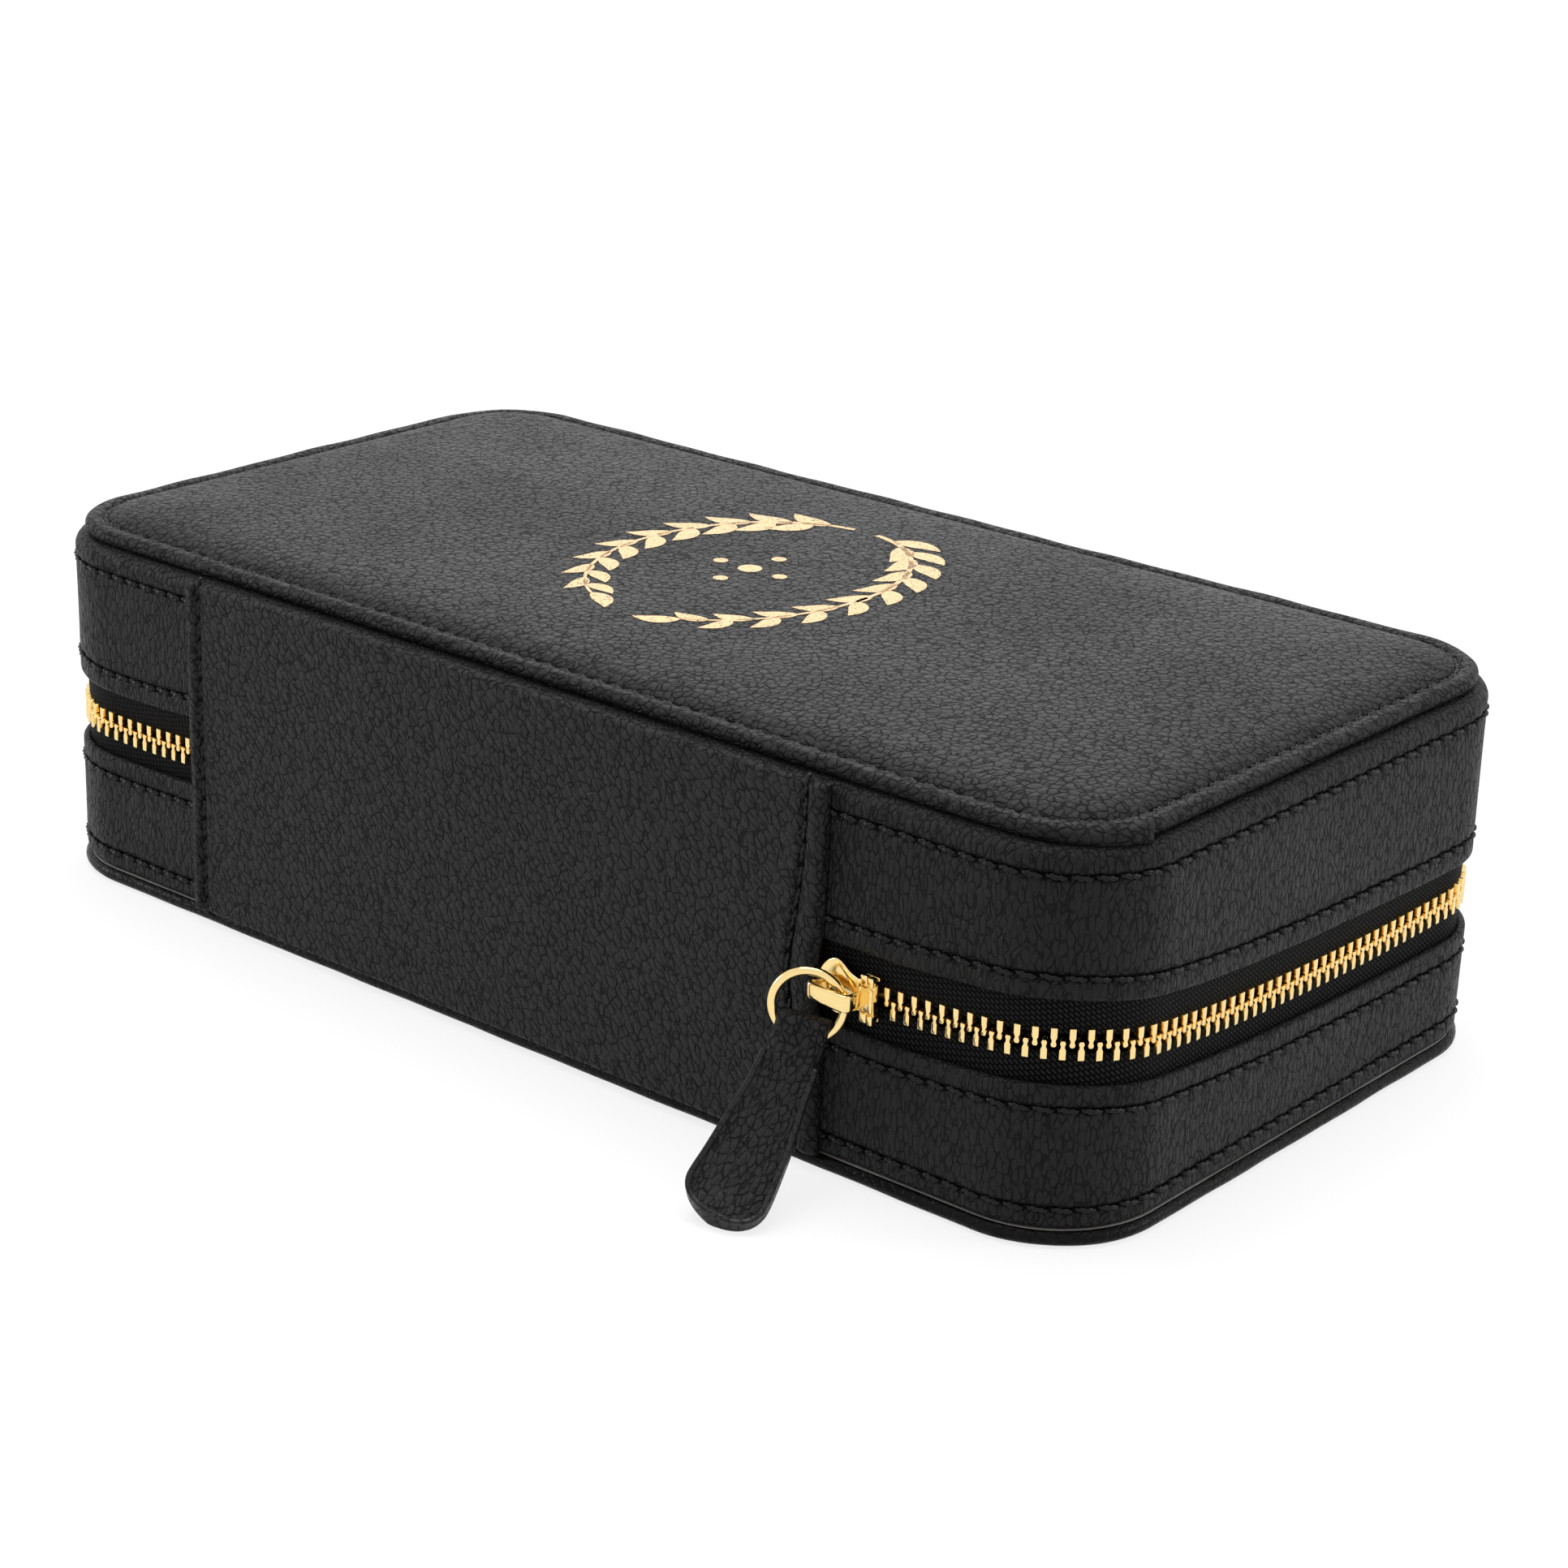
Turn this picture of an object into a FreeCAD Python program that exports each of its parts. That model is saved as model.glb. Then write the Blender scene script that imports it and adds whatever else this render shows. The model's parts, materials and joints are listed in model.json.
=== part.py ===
"""Zipped leather jewellery case with a leather spine as its hinge.

Millimetres, +Z up. The origin is the middle of the underside. +X runs along the case and +Y
points to the spine, so the zip opens the case at the front (-Y) and round both ends.
"""

import FreeCAD
import Part

import math
import os

Vector = FreeCAD.Vector

# Case outline
CASE_LENGTH = 230.0
CASE_DEPTH = 119.0
CORNER_RADIUS = 19.0

# Heights, from the table up
BOTTOM_THICKNESS = 2.65
BASE_WALL_HEIGHT = 22.4
ZIP_GAP = 12.5
ZIP_RISE = 5.7
LID_WALL_HEIGHT = 24.4
PANEL_THICKNESS = 2.6
CROWN_RISE = 2.3

# How much lower the zip and both wall edges beside it run at the front than at the back
ZIP_FALL = 4.4

# Sheet materials
LEATHER = 1.4
PANEL_LEATHER = 1.0
BOTTOM_LEATHER = 0.7
FRAME_THICKNESS = 2.4
LINING = 0.8
TAPE_THICKNESS = 0.6
SPINE_LEATHER = 1.5
TURNED_FLANGE = 1.2
FIT = 0.05

# Top and bottom panels
PANEL_INSET = 1.9
PANEL_EDGE_ROUND = 1.0
BOTTOM_INSET = -0.4
BOTTOM_EDGE_ROUND = 1.2
SEAM_INSET = 3.4
SEAM_WIDTH = 0.8
SEAM_DEPTH = 0.5
CROWN_STEPS = ((3.9, -0.5), (6.5, 0.3), (12.0, 0.62), (22.0, 0.84), (38.0, 1.0))
PAD_EDGE = 4.6

# Wall bands
LID_SHOULDER = 2.4
BASE_SHOULDER = 1.6
EDGE_ROUND = 0.9
TAPE_SEAM = 7.0

# Spine, the leather hinge
SPINE_SLIDER_MARGIN = 47.8
SPINE_FAR_MARGIN = 42.2
SPINE_END_GAP = 0.5
SPINE_FLOOR_GAP = 2.4
SPINE_EDGE_ROUND = 0.6
FOLD_DRAW_IN = 1.1
HINGE_LINING_LAP = 5.0
HINGE_LINING_THICKNESS = 0.5
HINGE_LINING_OVERHANG = 10.0

# Zip chain
TOOTH_PITCH = 2.53
TOOTH_LENGTH = 1.12
TOOTH_THICKNESS = 2.4
HEAD_LENGTH = 1.02
HEAD_THICKNESS = 1.9
CHAIN_HALF_WIDTH = 2.9
HEAD_OVERLAP = 0.8
TAPE_EDGE = 1.4
TAPE_SLACK = 0.1
TAPE_UNDER_SPINE = 5.0
CLOSED_END_HEIGHT = 6.6
STOP_LENGTH = 1.0

# Slider, with its bridge
SLIDER_LENGTH = 10.6
SLIDER_SPINE_GAP = 0.4
SLIDER_PLATE = 1.2
SLIDER_HALF_MOUTH = 4.2
SLIDER_HALF_WAIST = 3.0
SLIDER_HALF_REAR = 3.8
SLIDER_FLANGE = 0.65
SLIDER_SLIT = 1.0
CHANNEL_SLACK = 0.3
POST_LENGTH = 2.0
POST_HALF_WIDTH = 1.1
BRIDGE_WIDTH = 2.8
BRIDGE_THICKNESS = 1.0
BRIDGE_CLEAR = 3.1
BRIDGE_LEG = 1.2
BRIDGE_REAR_INSET = 1.75
BRIDGE_FRONT_INSET = 0.4

# Pull ring and leather tab
RING_RADIUS = 5.4
RING_WIRE = 0.7
RING_TURN = 32.0
RING_DROP = 1.5
RING_SEAT_REAR = 4.4
RING_SEAT_OUT = 1.45
TAB_ANGLE = -78
TAB_BORE_SLACK = 0.25
TAB_LENGTH = 29.5
TAB_VEER = 1.3
TAB_BOW = 0.3
TAB_BEND_SHARE = 0.12
TAB_TOP_WIDTH = 8.6
TAB_TIP_WIDTH = 13.0
TAB_THICKNESS = 3.0
TAB_LOOP_THICKNESS = 3.2
TAB_FLOOR_GAP = 0.3

# Inside
RING_ROLL_COUNT = 6
RING_ROLL_LENGTH = 64.0
RING_ROLL_HEIGHT = 15.0
RING_ROLL_CROWN = 5.0
RING_ROLL_GAP = 0.4
DIVIDER_THICKNESS = 3.0
DIVIDER_HEIGHT = 15.0
LONG_DIVIDER_Y = -8.0
CROSS_DIVIDERS = 2
MIRROR_LENGTH = 150.0
MIRROR_DEPTH = 72.0
MIRROR_THICKNESS = 2.0
MIRROR_RADIUS = 6.0
MIRROR_FRAME_WIDTH = 6.0
MIRROR_FRAME_LIP = 0.6
SOFT_GAP = 0.3

# Levels and planes worked out from the sizes above
BASE_WALL_TOP = BOTTOM_THICKNESS + BASE_WALL_HEIGHT
LID_WALL_BOTTOM = BASE_WALL_TOP + ZIP_GAP
LID_WALL_TOP = LID_WALL_BOTTOM + LID_WALL_HEIGHT
CASE_HEIGHT = LID_WALL_TOP + PANEL_THICKNESS
ZIP_LEVEL = BASE_WALL_TOP + ZIP_RISE
BACK_FACE = CASE_DEPTH / 2
SPINE_FACE = BACK_FACE + SPINE_LEATHER
TAPE_OUT = LEATHER
TAPE_MIDDLE = TAPE_OUT + TAPE_THICKNESS / 2
FRAME_IN = LEATHER + FRAME_THICKNESS
LINING_IN = FRAME_IN + LINING
SPINE_LEFT = SPINE_SLIDER_MARGIN - CASE_LENGTH / 2
SPINE_RIGHT = CASE_LENGTH / 2 - SPINE_FAR_MARGIN
FOLD_LEFT = SPINE_LEFT + FOLD_DRAW_IN
SLIDER_FRONT = FOLD_LEFT - SLIDER_SPINE_GAP
SLIDER_REAR = SLIDER_FRONT - SLIDER_LENGTH
TAPE_PLANE = BACK_FACE - TAPE_MIDDLE
PLATE_INNER = TAPE_PLANE + TOOTH_THICKNESS / 2 + CHANNEL_SLACK
PLATE_OUTER = PLATE_INNER + SLIDER_PLATE


def rounded_wire(length, depth, radius, z, centre_x=0.0, centre_y=0.0):
    """A rounded rectangle of four lines and four quarter arcs at height z."""
    half_x = length / 2 - radius
    half_y = depth / 2 - radius
    edges = []
    corners = (
        (half_x, half_y, 0),
        (-half_x, half_y, 90),
        (-half_x, -half_y, 180),
        (half_x, -half_y, 270),
    )

    def rim(corner, angle):
        turn = math.radians(angle)
        x = centre_x + corner[0] + radius * math.cos(turn)
        y = centre_y + corner[1] + radius * math.sin(turn)
        return Vector(x, y, z)

    for index, corner in enumerate(corners):
        start = corner[2]
        following = corners[(index + 1) % 4]
        arc_end = rim(corner, start + 90)
        edges.append(Part.Arc(rim(corner, start), rim(corner, start + 45), arc_end).toShape())
        edges.append(Part.LineSegment(arc_end, rim(following, start + 90)).toShape())
    return Part.Wire(edges)


def case_wire(inset, z):
    """The case outline drawn in by inset, with its corners kept round."""
    radius = max(CORNER_RADIUS - inset, CORNER_RADIUS / 4)
    return rounded_wire(CASE_LENGTH - 2 * inset, CASE_DEPTH - 2 * inset, radius, z)


def slab(wire, height):
    """A solid of the wire's outline, height tall."""
    return Part.Face(wire).extrude(Vector(0, 0, height))


def case_slab(inset, bottom, top):
    """A plate of the case outline between two heights."""
    return slab(case_wire(inset, bottom), top - bottom)


def case_ring(outer_inset, inner_inset, bottom, top):
    """A wall of the case outline between two insets and two heights."""
    return case_slab(outer_inset, bottom, top).cut(case_slab(inner_inset, bottom, top))


def box(x0, x1, y0, y1, z0, z1):
    """A box between two corners."""
    return Part.makeBox(x1 - x0, y1 - y0, z1 - z0, Vector(x0, y0, z0))


def fallen(level, y):
    """The height at y of a plane that falls towards the front with the zip, level at the zip's back run."""
    return level - ZIP_FALL * (TAPE_PLANE - y) / CASE_DEPTH


def beyond(level, above):
    """All the space above, or below, a plane that falls towards the front with the zip."""
    reach = CASE_LENGTH
    far = 2 * CASE_HEIGHT if above else -CASE_HEIGHT
    corners = ((-reach, fallen(level, -reach)), (reach, fallen(level, reach)), (reach, far), (-reach, far))
    loop = [Vector(-reach, y, z) for y, z in corners]
    return Part.Face(Part.makePolygon(loop + loop[:1])).extrude(Vector(2 * reach, 0, 0))


def round_edges_on(solid, height_at, radius):
    """The solid with every edge rounded that lies on the surface height_at(y)."""
    edges = []
    for edge in solid.Edges:
        first, last = edge.ParameterRange
        points = [edge.valueAt(first + share * (last - first)) for share in (0.0, 0.5, 1.0)]
        if all(abs(point.z - height_at(point.y)) < 1e-5 for point in points):
            edges.append(edge)
    return solid.makeFillet(radius, edges)


def round_edges_at(solid, level, radius):
    """The solid with every edge that lies at one height rounded."""
    return round_edges_on(solid, lambda y: level, radius)


def panel_core(bottom, top, inset, edge_round):
    """The rolled outer form of a leather-wrapped panel."""
    core = case_slab(inset, bottom, top)
    core = round_edges_at(core, bottom, edge_round)
    return round_edges_at(core, top, edge_round)


def crown(base_level, drop, grow):
    """The padded rise of the lid panel, drawn in by grow and lowered by drop."""
    level = base_level - drop
    wires = [case_wire(PANEL_INSET + inset + grow, level + CROWN_RISE * rise) for inset, rise in CROWN_STEPS]
    return Part.makeLoft(wires, True, True)


def lid_board_space():
    """The pocket that the lid's stiff board fills."""
    board_top = LID_WALL_TOP + PANEL_THICKNESS - PANEL_LEATHER
    return case_slab(PANEL_INSET + PANEL_LEATHER, LID_WALL_TOP, board_top)


def lid_pad():
    """The foam pad that gives the lid its crown, on top of the board."""
    pad = crown(CASE_HEIGHT, PANEL_LEATHER, PAD_EDGE - CROWN_STEPS[0][0])
    return pad.cut(lid_board_space())


def lid_top_cover():
    """Leather wrapped over the lid's board and pad, with a sewn channel inside its rolled edge."""
    core = panel_core(LID_WALL_TOP, CASE_HEIGHT, PANEL_INSET, PANEL_EDGE_ROUND)
    cover = core.fuse(crown(CASE_HEIGHT, 0.0, 0.0))
    channel_out = PANEL_INSET + SEAM_INSET - SEAM_WIDTH / 2
    channel_floor = CASE_HEIGHT - SEAM_DEPTH
    channel = case_ring(channel_out, channel_out + SEAM_WIDTH, channel_floor, CASE_HEIGHT + CROWN_RISE)
    cover = cover.cut(channel)
    return cover.cut(lid_board_space()).cut(lid_pad())


def lid_board():
    """The stiff board inside the lid panel."""
    top = LID_WALL_TOP + PANEL_THICKNESS - PANEL_LEATHER
    return case_slab(PANEL_INSET + PANEL_LEATHER + FIT, LID_WALL_TOP, top)


def bottom_cover():
    """Leather wrapped round the bottom board, turned up at its edge."""
    pocket = case_slab(BOTTOM_INSET + PANEL_LEATHER, BOTTOM_LEATHER, BOTTOM_THICKNESS)
    return panel_core(0.0, BOTTOM_THICKNESS, BOTTOM_INSET, BOTTOM_EDGE_ROUND).cut(pocket)


def bottom_board():
    """The stiff board inside the bottom panel."""
    return case_slab(BOTTOM_INSET + PANEL_LEATHER + FIT, BOTTOM_LEATHER, BOTTOM_THICKNESS)


def base_wall():
    """The base's leather band, turned over its frame at the bottom. Its zip edge falls to the front."""
    top = BASE_WALL_TOP + ZIP_FALL
    band = round_edges_at(case_slab(0.0, BOTTOM_THICKNESS, top), BOTTOM_THICKNESS, BASE_SHOULDER)
    band = band.cut(beyond(BASE_WALL_TOP, True))
    band = round_edges_on(band, lambda y: fallen(BASE_WALL_TOP, y), EDGE_ROUND)
    pocket = case_slab(LEATHER, BOTTOM_THICKNESS + TURNED_FLANGE, top)
    return band.cut(pocket).cut(case_slab(FRAME_IN, BOTTOM_THICKNESS, top))


def lid_wall():
    """The lid's leather band, turned over its frame at the top. Its zip edge falls to the front."""
    bottom = LID_WALL_BOTTOM - 2 * ZIP_FALL
    band = round_edges_at(case_slab(0.0, bottom, LID_WALL_TOP), LID_WALL_TOP, LID_SHOULDER)
    band = band.cut(beyond(LID_WALL_BOTTOM, False))
    band = round_edges_on(band, lambda y: fallen(LID_WALL_BOTTOM, y), EDGE_ROUND)
    pocket = case_slab(LEATHER, bottom, LID_WALL_TOP - TURNED_FLANGE)
    return band.cut(pocket).cut(case_slab(FRAME_IN, bottom, LID_WALL_TOP))


def base_frame():
    """The stiff frame inside the base's band, rebated on its outside where the zip tape is sewn in."""
    top = BASE_WALL_TOP + ZIP_FALL
    frame = case_ring(LEATHER + FIT, FRAME_IN, BOTTOM_THICKNESS + TURNED_FLANGE, top)
    rebate = case_ring(0.0, TAPE_OUT + TAPE_THICKNESS + FIT, 0.0, top)
    rebate = rebate.cut(beyond(BASE_WALL_TOP - TAPE_SEAM - FIT, False))
    return frame.cut(rebate).cut(beyond(BASE_WALL_TOP - EDGE_ROUND, True))


def lid_frame():
    """The stiff frame inside the lid's band, rebated on its outside where the zip tape is sewn in."""
    bottom = LID_WALL_BOTTOM - 2 * ZIP_FALL
    frame = case_ring(LEATHER + FIT, FRAME_IN, bottom, LID_WALL_TOP - TURNED_FLANGE)
    rebate = case_ring(0.0, TAPE_OUT + TAPE_THICKNESS + FIT, bottom, LID_WALL_TOP)
    rebate = rebate.cut(beyond(LID_WALL_BOTTOM + TAPE_SEAM + FIT, True))
    return frame.cut(rebate).cut(beyond(LID_WALL_BOTTOM + EDGE_ROUND, False))


def base_lining():
    """The soft lining of the base, a shallow tub on the bottom board."""
    top = BASE_WALL_TOP + ZIP_FALL
    tub = case_slab(FRAME_IN + FIT, BOTTOM_THICKNESS, top)
    tub = tub.cut(case_slab(LINING_IN, BOTTOM_THICKNESS + LINING, top))
    return tub.cut(beyond(BASE_WALL_TOP, True))


def lid_lining():
    """The soft lining of the lid, a tub that opens downwards."""
    bottom = LID_WALL_BOTTOM - 2 * ZIP_FALL
    tub = case_slab(FRAME_IN + FIT, bottom, LID_WALL_TOP)
    tub = tub.cut(case_slab(LINING_IN, bottom, LID_WALL_TOP - LINING))
    return tub.cut(beyond(LID_WALL_BOTTOM, False))


def spine_strip(left, bottom, top):
    """A stretch of the spine between two heights, with its turned ends rounded."""
    strip = box(left, SPINE_RIGHT, BACK_FACE, SPINE_FACE, bottom, top)
    ends = [
        edge
        for edge in strip.Edges
        if abs(edge.BoundBox.YMin - SPINE_FACE) < 1e-6 and edge.BoundBox.ZMax - edge.BoundBox.ZMin > 1.0
    ]
    return strip.makeFillet(SPINE_EDGE_ROUND, ends)


def hinge_lining():
    """The strip of lining that closes the hinge on the inside, lapped on both linings."""
    inner = BACK_FACE - LINING_IN - HINGE_LINING_THICKNESS
    outer = BACK_FACE - LINING_IN
    return box(
        SPINE_LEFT - HINGE_LINING_OVERHANG,
        SPINE_RIGHT + HINGE_LINING_OVERHANG,
        inner,
        outer,
        BASE_WALL_TOP - HINGE_LINING_LAP,
        LID_WALL_BOTTOM + HINGE_LINING_LAP,
    )


def zip_tape(bottom, top):
    """One woven tape, from under one end of the spine round to the other. It falls to the front."""
    lowest = bottom - 2 * ZIP_FALL
    highest = top + ZIP_FALL
    tape = case_ring(TAPE_OUT, TAPE_OUT + TAPE_THICKNESS, lowest, highest)
    gap_start = SPINE_LEFT + TAPE_UNDER_SPINE
    gap_end = SPINE_RIGHT - TAPE_UNDER_SPINE
    tape = tape.cut(box(gap_start, gap_end, 0.0, BACK_FACE, lowest, highest))
    return tape.cut(beyond(bottom, False)).cut(beyond(top, True))


def zip_tape_lower():
    return zip_tape(BASE_WALL_TOP - TAPE_SEAM, ZIP_LEVEL - TAPE_EDGE)


def closed_end_start():
    """Where the closed end begins: between two of the lid's teeth, just short of the corner."""
    corner_x = CORNER_RADIUS - CASE_LENGTH / 2
    first_tooth = SLIDER_REAR - TOOTH_LENGTH
    whole_pitches = math.floor((first_tooth - corner_x) / TOOTH_PITCH)
    return first_tooth - (whole_pitches - 0.5) * TOOTH_PITCH


def closed_end(gap, bottom, top):
    """The stretch behind the corner where the zip stays shut, from near the corner to under the spine."""
    start = closed_end_start() + gap
    return box(start, SPINE_LEFT + TAPE_UNDER_SPINE, 0.0, BACK_FACE, bottom, top)


def zip_tape_upper():
    """The lid's tape, cut back along the closed end so that the lid lifts away from the slider."""
    tape = zip_tape(ZIP_LEVEL + TAPE_EDGE, LID_WALL_BOTTOM + TAPE_SEAM)
    return tape.cut(closed_end(0.0, ZIP_LEVEL, ZIP_LEVEL + CLOSED_END_HEIGHT))


def zip_tape_closed_end():
    """The edge of the lid's tape along the closed end, which stays with the base."""
    tape = zip_tape(ZIP_LEVEL + TAPE_EDGE, LID_WALL_BOTTOM + TAPE_SEAM)
    return tape.common(closed_end(FIT, ZIP_LEVEL, ZIP_LEVEL + CLOSED_END_HEIGHT - FIT))


def chain_stations():
    """Places along the zip as (point, heading in degrees) at every half pitch, from the slider on."""
    inset = TAPE_MIDDLE
    radius = CORNER_RADIUS - inset
    straight_x = CASE_LENGTH / 2 - CORNER_RADIUS
    straight_y = CASE_DEPTH / 2 - CORNER_RADIUS
    start_x = SLIDER_REAR - TOOTH_LENGTH
    end_x = SPINE_RIGHT - TAPE_UNDER_SPINE / 2
    quarter = radius * math.pi / 2
    legs = [
        ("line", start_x + straight_x, Vector(start_x, BACK_FACE - inset, ZIP_LEVEL), 180),
        ("arc", quarter, Vector(-straight_x, straight_y, ZIP_LEVEL), 180),
        ("line", 2 * straight_y, Vector(inset - CASE_LENGTH / 2, straight_y, ZIP_LEVEL), 270),
        ("arc", quarter, Vector(-straight_x, -straight_y, ZIP_LEVEL), 270),
        ("line", 2 * straight_x, Vector(-straight_x, inset - BACK_FACE, ZIP_LEVEL), 0),
        ("arc", quarter, Vector(straight_x, -straight_y, ZIP_LEVEL), 0),
        ("line", 2 * straight_y, Vector(CASE_LENGTH / 2 - inset, -straight_y, ZIP_LEVEL), 90),
        ("arc", quarter, Vector(straight_x, straight_y, ZIP_LEVEL), 90),
        ("line", straight_x - end_x, Vector(straight_x, BACK_FACE - inset, ZIP_LEVEL), 180),
    ]
    stations = []
    travelled = 0.0
    for kind, length, origin, heading in legs:
        while len(stations) * TOOTH_PITCH / 2 <= travelled + length:
            along = len(stations) * TOOTH_PITCH / 2 - travelled
            if kind == "line":
                turn = math.radians(heading)
                point = origin + Vector(math.cos(turn), math.sin(turn), 0) * along
                point.z = fallen(ZIP_LEVEL, point.y)
                stations.append((point, heading))
            else:
                angle = heading + math.degrees(along / radius)
                out = math.radians(angle - 90)
                point = origin + Vector(math.cos(out), math.sin(out), 0) * radius
                point.z = fallen(ZIP_LEVEL, point.y)
                stations.append((point, angle))
        travelled += length
    return stations


def tooth(side):
    """One zip tooth at the origin, clamped on the tape edge. side is 1 on the lid, -1 on the base."""
    half_length = TOOTH_LENGTH / 2
    half_thickness = TOOTH_THICKNESS / 2
    half_head = HEAD_LENGTH / 2
    head_thickness = HEAD_THICKNESS / 2
    half_slot = TAPE_THICKNESS / 2 + TAPE_SLACK
    legs = box(-half_length, half_length, -half_thickness, half_thickness, HEAD_OVERLAP, CHAIN_HALF_WIDTH)
    head = box(-half_head, half_head, -head_thickness, head_thickness, -HEAD_OVERLAP, HEAD_OVERLAP)
    slot = box(-half_length, half_length, -half_slot, half_slot, TAPE_EDGE - TAPE_SLACK, CHAIN_HALF_WIDTH)
    shape = legs.fuse(head).removeSplitter().cut(slot)
    if side < 0:
        shape.rotate(Vector(0, 0, 0), Vector(1, 0, 0), 180)
    return shape


def teeth_rows():
    """The zip's teeth as named groups: each row, split where the closed end begins."""
    groups = {}
    split = closed_end_start()
    for index, (point, heading) in enumerate(chain_stations()):
        side = 1 if index % 2 == 0 else -1
        row = "zip_teeth_upper" if side > 0 else "zip_teeth_lower"
        at_closed_end = point.y > TAPE_PLANE - 1e-6 and split < point.x < 0
        placed = tooth(side)
        placed.rotate(Vector(0, 0, 0), Vector(0, 0, 1), heading)
        placed.translate(point)
        groups.setdefault(row + "_end" if at_closed_end else row, []).append(placed)
    return {name: Part.makeCompound(solids) for name, solids in groups.items()}


def zip_stop():
    """The metal stop that ends the base's row of teeth at the spine."""
    half_thickness = TOOTH_THICKNESS / 2
    half_slot = TAPE_THICKNESS / 2 + TAPE_SLACK
    bottom = ZIP_LEVEL - CHAIN_HALF_WIDTH
    top = ZIP_LEVEL - TAPE_EDGE + TAPE_SLACK
    start = SLIDER_FRONT + FIT
    end = start + STOP_LENGTH
    inner = TAPE_PLANE - half_thickness
    outer = TAPE_PLANE + half_thickness
    clip = box(start, end, inner, outer, bottom, top + FRAME_THICKNESS / 4)
    return clip.cut(box(start, end, TAPE_PLANE - half_slot, TAPE_PLANE + half_slot, bottom, top))


def slider_plate(inner_face, outer_face):
    """One plate of the slider: wide at the mouth, drawn in at the waist, square at the rear."""
    waist = SLIDER_FRONT - 0.66 * SLIDER_LENGTH
    rear_block = SLIDER_FRONT - 0.74 * SLIDER_LENGTH
    shoulder = SLIDER_FRONT - 0.32 * SLIDER_LENGTH
    nose = SLIDER_FRONT - 0.12 * SLIDER_LENGTH
    outline = [
        (SLIDER_FRONT, 0.72 * SLIDER_HALF_MOUTH),
        (nose, SLIDER_HALF_MOUTH),
        (shoulder, SLIDER_HALF_MOUTH),
        (waist, SLIDER_HALF_WAIST),
        (rear_block, SLIDER_HALF_REAR),
        (SLIDER_REAR, SLIDER_HALF_REAR),
    ]
    loop = [Vector(x, inner_face, ZIP_LEVEL + half) for x, half in outline]
    loop += [Vector(x, inner_face, ZIP_LEVEL - half) for x, half in reversed(outline)]
    face = Part.Face(Part.makePolygon(loop + loop[:1]))
    return face.extrude(Vector(0, outer_face - inner_face, 0))


def slider_flanges():
    """The four lips along the slider's rear block, with the slit for the tapes between them."""
    slit = SLIDER_SLIT / 2
    front = SLIDER_FRONT - 0.74 * SLIDER_LENGTH
    channel_back = TAPE_PLANE - (PLATE_INNER - TAPE_PLANE)
    lips = []
    for sign in (1, -1):
        near, far = sorted((sign * (SLIDER_HALF_REAR - SLIDER_FLANGE), sign * SLIDER_HALF_REAR))
        low = ZIP_LEVEL + near
        high = ZIP_LEVEL + far
        lips.append(box(SLIDER_REAR, front, TAPE_PLANE + slit, PLATE_INNER, low, high))
        lips.append(box(SLIDER_REAR, front, channel_back, TAPE_PLANE - slit, low, high))
    return lips


def slider_body():
    """The zip slider: two plates held apart by a post at the mouth, lipped along the rear."""
    channel_back = TAPE_PLANE - (PLATE_INNER - TAPE_PLANE)
    post = box(
        SLIDER_FRONT - POST_LENGTH,
        SLIDER_FRONT,
        channel_back,
        PLATE_INNER,
        ZIP_LEVEL - POST_HALF_WIDTH,
        ZIP_LEVEL + POST_HALF_WIDTH,
    )
    body = slider_plate(PLATE_INNER, PLATE_OUTER).fuse(
        [slider_plate(channel_back - SLIDER_PLATE, channel_back), post, *slider_flanges()]
    )
    return body.removeSplitter()


def slider_bridge():
    """The bridge on the slider's face that holds the pull ring."""
    rear = SLIDER_REAR + BRIDGE_REAR_INSET
    front = SLIDER_FRONT - BRIDGE_FRONT_INSET
    top = PLATE_OUTER + BRIDGE_CLEAR + BRIDGE_THICKNESS
    low = ZIP_LEVEL - BRIDGE_WIDTH / 2
    high = ZIP_LEVEL + BRIDGE_WIDTH / 2
    arch = box(rear, front, PLATE_OUTER, top, low, high)
    corners = [
        edge
        for edge in arch.Edges
        if abs(edge.BoundBox.YMin - top) < 1e-6 and edge.BoundBox.XMax - edge.BoundBox.XMin < 1e-6
    ]
    arch = arch.makeFillet(BRIDGE_CLEAR / 2, corners)
    clear_top = top - BRIDGE_THICKNESS
    return arch.cut(box(rear + BRIDGE_LEG, front - BRIDGE_LEG, PLATE_OUTER, clear_top, low, high))


def ring_axes():
    """The pull ring's middle, the level direction in its plane and its axis."""
    turn = math.radians(RING_TURN)
    across = Vector(math.cos(turn), math.sin(turn), 0)
    reach = math.sqrt(RING_RADIUS**2 - RING_DROP**2)
    seat = Vector(SLIDER_REAR + RING_SEAT_REAR, PLATE_OUTER + RING_SEAT_OUT, ZIP_LEVEL)
    middle = seat + across * reach - Vector(0, 0, RING_DROP)
    return middle, across, across.cross(Vector(0, 0, 1))


def ring_point(angle):
    """The middle of the ring's wire at an angle up from level, and the wire's direction there."""
    middle, across, _ = ring_axes()
    turn = math.radians(angle)
    radial = across * math.cos(turn) + Vector(0, 0, math.sin(turn))
    along = Vector(0, 0, math.cos(turn)) - across * math.sin(turn)
    return middle + radial * RING_RADIUS, along


def ring_wire(radius):
    """A ring of wire on the pull ring's circle."""
    middle, _, axis = ring_axes()
    return Part.makeTorus(RING_RADIUS, radius, middle, axis)


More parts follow.
